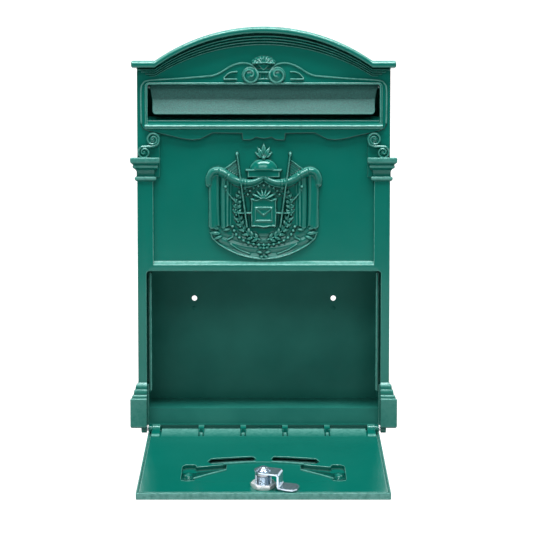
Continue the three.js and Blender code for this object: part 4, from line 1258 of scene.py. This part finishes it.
# The lock's frame: x along the cam, f the height above the door's inner face, z up the closed door.
LOCK_PLACE = (OPENED @ Matrix.Translation((0, -DOOR_INNER * MM, LOCK_HEIGHT * MM))
              @ Matrix.Diagonal((MM, MM, MM, 1)))
# The cam stands as far from its unlocked stop as the joint can turn back.
CAM_TURN = math.radians(joint("lock_turn")["range_deg"][0])
CORE_PLACE = LOCK_PLACE @ Matrix.Rotation(CAM_TURN, 4, "Y")
BARREL_R, BARREL_TOP = 7.8, 11.8
PLUG_CLEAR = 5.8
DOOR_THICK = DOOR_OUTER - DOOR_INNER
PITCH = 1.1
CAM_TOP = BARREL_TOP + 4.4
CAM_THICK, CAM_HALF, CAM_DROP, CAM_REACH, CAM_FOOT, CAM_EDGE = 1.9, 7.8, 16.4, 33.0, 1.0, 0.35


def lock_barrel():
    """Bezel on the door's outer face, and the threaded barrel through the door."""
    piece = Piece()
    outer = -DOOR_THICK
    bezel = [(0, outer - 3.2), (5.8, outer - 3.2), (9.4, outer - 3.0), (10.2, outer - 2.2), (10.4, outer - 0.4),
             (7.0, outer - 0.4), (0, outer - 0.4)]
    piece.lathe((0, 0, 0), bezel, 48, wear_and_painted_light=[0, 0, 1, 1, 0, 0, 0])
    thread = [(0, outer - 0.6), (BARREL_R - 0.5, outer - 0.6)]
    height = outer
    while height < BARREL_TOP - 1.6:
        thread += [(BARREL_R - 0.62, height), (BARREL_R - 0.1, height + 0.36 * PITCH),
                   (BARREL_R, height + 0.5 * PITCH), (BARREL_R - 0.1, height + 0.64 * PITCH)]
        height += PITCH
    thread += [(BARREL_R - 0.6, height), (BARREL_R - 0.1, height + 0.2), (BARREL_R - 0.1, BARREL_TOP - 0.5),
               (BARREL_R - 0.6, BARREL_TOP), (PLUG_CLEAR, BARREL_TOP), (PLUG_CLEAR - 0.1, BARREL_TOP - 0.8),
               (0, BARREL_TOP - 0.8)]
    piece.lathe((0, 0, 0), thread, 48)
    piece.build("lock_barrel_threaded", "door", "chrome", ["lock_barrel"], LOCK_PLACE)


def lock_nut():
    """Hexagon nut with a flat towards the door's free edge and its corners chamfered."""
    piece = Piece()
    flats, low, high = 20.4, 0.1, 4.3
    count = 72
    angles = np.arange(count) * 2 * math.pi / count
    hexagon = flats / 2 / np.cos(angles % (math.pi / 3) - math.pi / 6)
    table = ((low, 10.8, 0), (low + 0.5, 11.5, 0.6), (low + 0.8, 11.8, 0.2), (high - 0.9, 11.8, 0.2),
             (high - 0.45, 11.2, 1), (high, 10.2, 0.8), (high, 9.0, 0), (high - 0.5, BARREL_R + 0.3, 0))
    rings, worn_and_painted_light = [], []
    for h, limit, wear_and_painted_light in table:
        r = np.minimum(hexagon, limit)
        rings.append(np.stack([r * np.cos(angles), np.full(count, h), r * np.sin(angles)], axis=1))
        worn_and_painted_light.append(np.full(count, wear_and_painted_light))
    piece.loft(rings, worn_and_painted_light)
    piece.build("lock_nut_chamfered", "door", "chrome_satin", ["lock_nut"], LOCK_PLACE)


def lock_cam():
    """Strip bent down to the door and out again, with rounded bends and edges and clipped corners."""
    piece = Piece()
    middle_top, middle_foot = CAM_TOP - CAM_THICK / 2, CAM_FOOT + CAM_THICK / 2
    drop_x = CAM_DROP - CAM_THICK / 2
    start, beyond = -8.6, 60  # beyond closes the line well away from the strip, and is cut off again
    line = fillet([(start, middle_top), (drop_x, middle_top, 2.2), (drop_x, middle_foot, 2.6),
                   (CAM_REACH, middle_foot), (CAM_REACH, beyond), (start, beyond)], steps=7)[:-2]
    line = np.vstack([np.linspace(line[0], line[1], 12)[:-1], line[1:-1], np.linspace(line[-2], line[-1], 14)])
    along = np.gradient(line, axis=0)
    along /= np.linalg.norm(along, axis=1, keepdims=True)
    normal = np.stack([-along[:, 1], along[:, 0]], axis=1)
    rings, worn_and_painted_light = [], []
    run = np.concatenate([[0], np.cumsum(np.linalg.norm(np.diff(line, axis=0), axis=1))])
    clip, clip_slope, round_length = 3.6, 0.95, 8.0
    t = CAM_THICK / 2
    for p, n, s in zip(line, normal, run):
        from_end = run[-1] - s
        half = CAM_HALF - max(0.0, clip - from_end) * clip_slope
        if s < round_length:
            half = min(half, math.sqrt(max(0.01, CAM_HALF ** 2 - (round_length - s) ** 2)))
        half = max(half, 0.6)
        section = [(half, -t + CAM_EDGE), (half, t - CAM_EDGE), (half - CAM_EDGE, t), (-half + CAM_EDGE, t),
                   (-half, t - CAM_EDGE), (-half, -t + CAM_EDGE), (-half + CAM_EDGE, -t), (half - CAM_EDGE, -t)]
        rings.append([(p[0] + n[0] * d, p[1] + n[1] * d, w) for w, d in section])
        worn_and_painted_light.append([0.6, 1, 1, 1, 1, 0.6, 0, 0])
    piece.loft(rings, worn_and_painted_light)
    piece.build("lock_cam_bent", "lock_core", "chrome", ["lock_cam"], CORE_PLACE)


def cam_screw():
    """Pan head with a cross recess, on a washer with a spring ring."""
    piece = Piece()
    base = CAM_TOP + 0.1
    washer = [(0, 0), (6.4, 0), (6.7, 0.25), (6.7, 0.55), (6.4, 0.8), (0, 0.8)]
    spring = [(0, 0), (5.0, 0), (5.3, 0.25), (5.3, 0.5), (5.0, 0.75), (0, 0.75)]
    piece.lathe((0, base, 0), washer, 40)
    piece.lathe((0, base + 0.85, 0), spring, 36)
    top, radius, rise = base + 1.6, 3.7, 1.7

    def height(X, Z):
        r = np.hypot(X, Z)
        head = rise * np.sqrt(np.clip(1 - (r / radius) ** 2.6, 0, 1))
        arm = np.minimum(np.abs(X), np.abs(Z))
        recess = 1.2 * ramp(0.62 - arm, 0.25) * ramp(2.2 - r, 0.5)
        return top + np.where(r < radius, head - recess, -0.3)

    piece.relief((-3.9, 3.9), (-3.9, 3.9), 0.15, height, top - 0.6)
    piece.build("cam_screw_domed", "lock_core", "chrome", ["cam_screw", "cam_washer"], CORE_PLACE,
                weighted=False)


# ---- kept nodes

# The start of each kept node's name, with its material and the width of its broken edges.
KEPT = {"back_pan": ("pan_paint", 0.5), "back_pan_screw": ("zinc_steel", 0.2),
        "flap_hinge_rod": ("zinc_steel", 0.25), "flap_rod_clip": ("zinc_steel", 0.2),
        "door_hinge_pin": ("zinc_steel", 0.3), "lock_plug": ("chrome", 0.15),
        "lock_wafer": ("brass", 0.1), "cam_stop_disc": ("zinc_steel", 0.2)}


def keep_nodes():
    """CAD nodes whose shape is right: broken edges and a real finish."""
    for name, node in frame["nodes"].items():
        starts = [start for start in KEPT if name.startswith(start)]
        if not starts:
            continue
        material, width = KEPT[max(starts, key=len)]
        node.data.materials.clear()
        node.data.materials.append(MATERIALS[material])
        bevel = node.modifiers.new("bevel", "BEVEL")
        bevel.width = width * MM
        bevel.segments = 2
        bevel.limit_method = "ANGLE"
        bevel.angle_limit = math.radians(35)
        bevel.harden_normals = False


def pan_dimples():
    """Shallow pressed pips under the wall holes."""
    piece = Piece()
    sheet, hole_x, drop = 1.2, 73.1, 10.4
    pip = [(0, -0.6), (2.6, -0.6), (2.4, 0.05), (1.5, 0.5), (0.7, 0.7), (0, 0.75)]
    for x in (-hole_x, hole_x):
        piece.lathe((x, -PAN_HIGH[1] + sheet, -drop), pip, 24)
    piece.build("pan_dimples", material="pan_paint")


# ---- stage, light and camera


def sweep(name, profile, base, emission):
    """A sheet of the stage, 7 m wide, from a (y, z) profile in metres."""
    material = bpy.data.materials.new(name)
    material.use_nodes = True
    shader = material.node_tree.nodes["Principled BSDF"]
    shader.inputs["Base Color"].default_value = (base, base, base, 1)
    shader.inputs["Roughness"].default_value = 0.9
    shader.inputs["Emission Color"].default_value = (1, 1, 1, 1)
    shader.inputs["Emission Strength"].default_value = emission
    points = [(x, y, z) for y, z in profile for x in (-3.5, 3.5)]
    faces = [(2 * i, 2 * i + 1, 2 * i + 3, 2 * i + 2) for i in range(len(profile) - 1)]
    mesh = bpy.data.meshes.new(name)
    mesh.from_pydata(points, [], faces)
    mesh.shade_smooth()
    mesh.materials.append(material)
    obj = bpy.data.objects.new(name, mesh)
    bpy.context.scene.collection.objects.link(obj)


def stage():
    """Pale floor in front, and a glowing white backdrop that curves up behind."""
    low, back, bend, seam = -0.42, 1.3, 0.5, 0.45
    curve = [(back - bend + bend * math.sin(a), low + bend - bend * math.cos(a))
             for a in np.linspace(0.1, math.pi / 2, 12)]
    sweep("floor_front", [(-3.0, low), (seam, low)], 0.3, 0.0)
    sweep("front_card", [(-0.95, low + 0.004), (-0.42, low + 0.004)], 0.9, 0.2)
    sweep("backdrop", [(seam, low), (back - bend, low)] + curve + [(back, 3.2)], 0.2, 1.1)


def area_light(name, place, target, size, energy):
    data = bpy.data.lights.new(name, "AREA")
    data.shape = "RECTANGLE"
    data.size, data.size_y = size
    data.energy = energy
    obj = bpy.data.objects.new(name, data)
    obj.location = place
    obj.rotation_euler = (Vector(target) - Vector(place)).to_track_quat("-Z", "Y").to_euler()
    bpy.context.scene.collection.objects.link(obj)


def lights():
    area_light("key", (-0.15, -1.65, 1.12), (0, -0.1, 0.05), (1.4, 0.7), 11)
    area_light("strip", (0, -0.64, 1.80), (0, -0.1, 0.05), (1.7, 0.60), 54)
    area_light("low_front", (0, -2.0, -0.265), (0, 0, -0.265), (1.6, 0.28), 1.8)
    area_light("fill_left", (-1.7, -1.3, 0.4), (0, -0.1, 0), (0.6, 1.4), 3)
    area_light("fill_right", (1.7, -1.2, 0.3), (0, -0.1, 0), (0.6, 1.4), 2)
    world = bpy.data.worlds.new("studio")
    bpy.context.scene.world = world
    world.use_nodes = True
    background = world.node_tree.nodes["Background"]
    background.inputs["Color"].default_value = (0.95, 0.97, 1.0, 1)
    background.inputs["Strength"].default_value = 0.06


def camera():
    """Square on, a little above the middle and tipped down by four degrees."""
    data = bpy.data.cameras.new("camera")
    data.sensor_width = 36.0
    data.lens = 101.6
    data.clip_start = 0.05
    obj = bpy.data.objects.new("camera", data)
    obj.location = (0.0028, -1.5803, 0.1438)
    obj.rotation_euler = (math.radians(86), 0, 0)
    bpy.context.scene.collection.objects.link(obj)
    bpy.context.scene.camera = obj
    bpy.context.scene.view_settings.view_transform = "Standard"


# ---- the mailbox

camera()
lights()
stage()
casting_plate()
cornice()
slot_surround()
slot_frame()
slot_crest()
columns()
side_scrolls()
opening_edges()
crest()
slot_flap()
door_panel()
door_hinge_side()
door_pockets()
door_garland()
lock_barrel()
lock_nut()
lock_cam()
cam_screw()
keep_nodes()
pan_dimples()
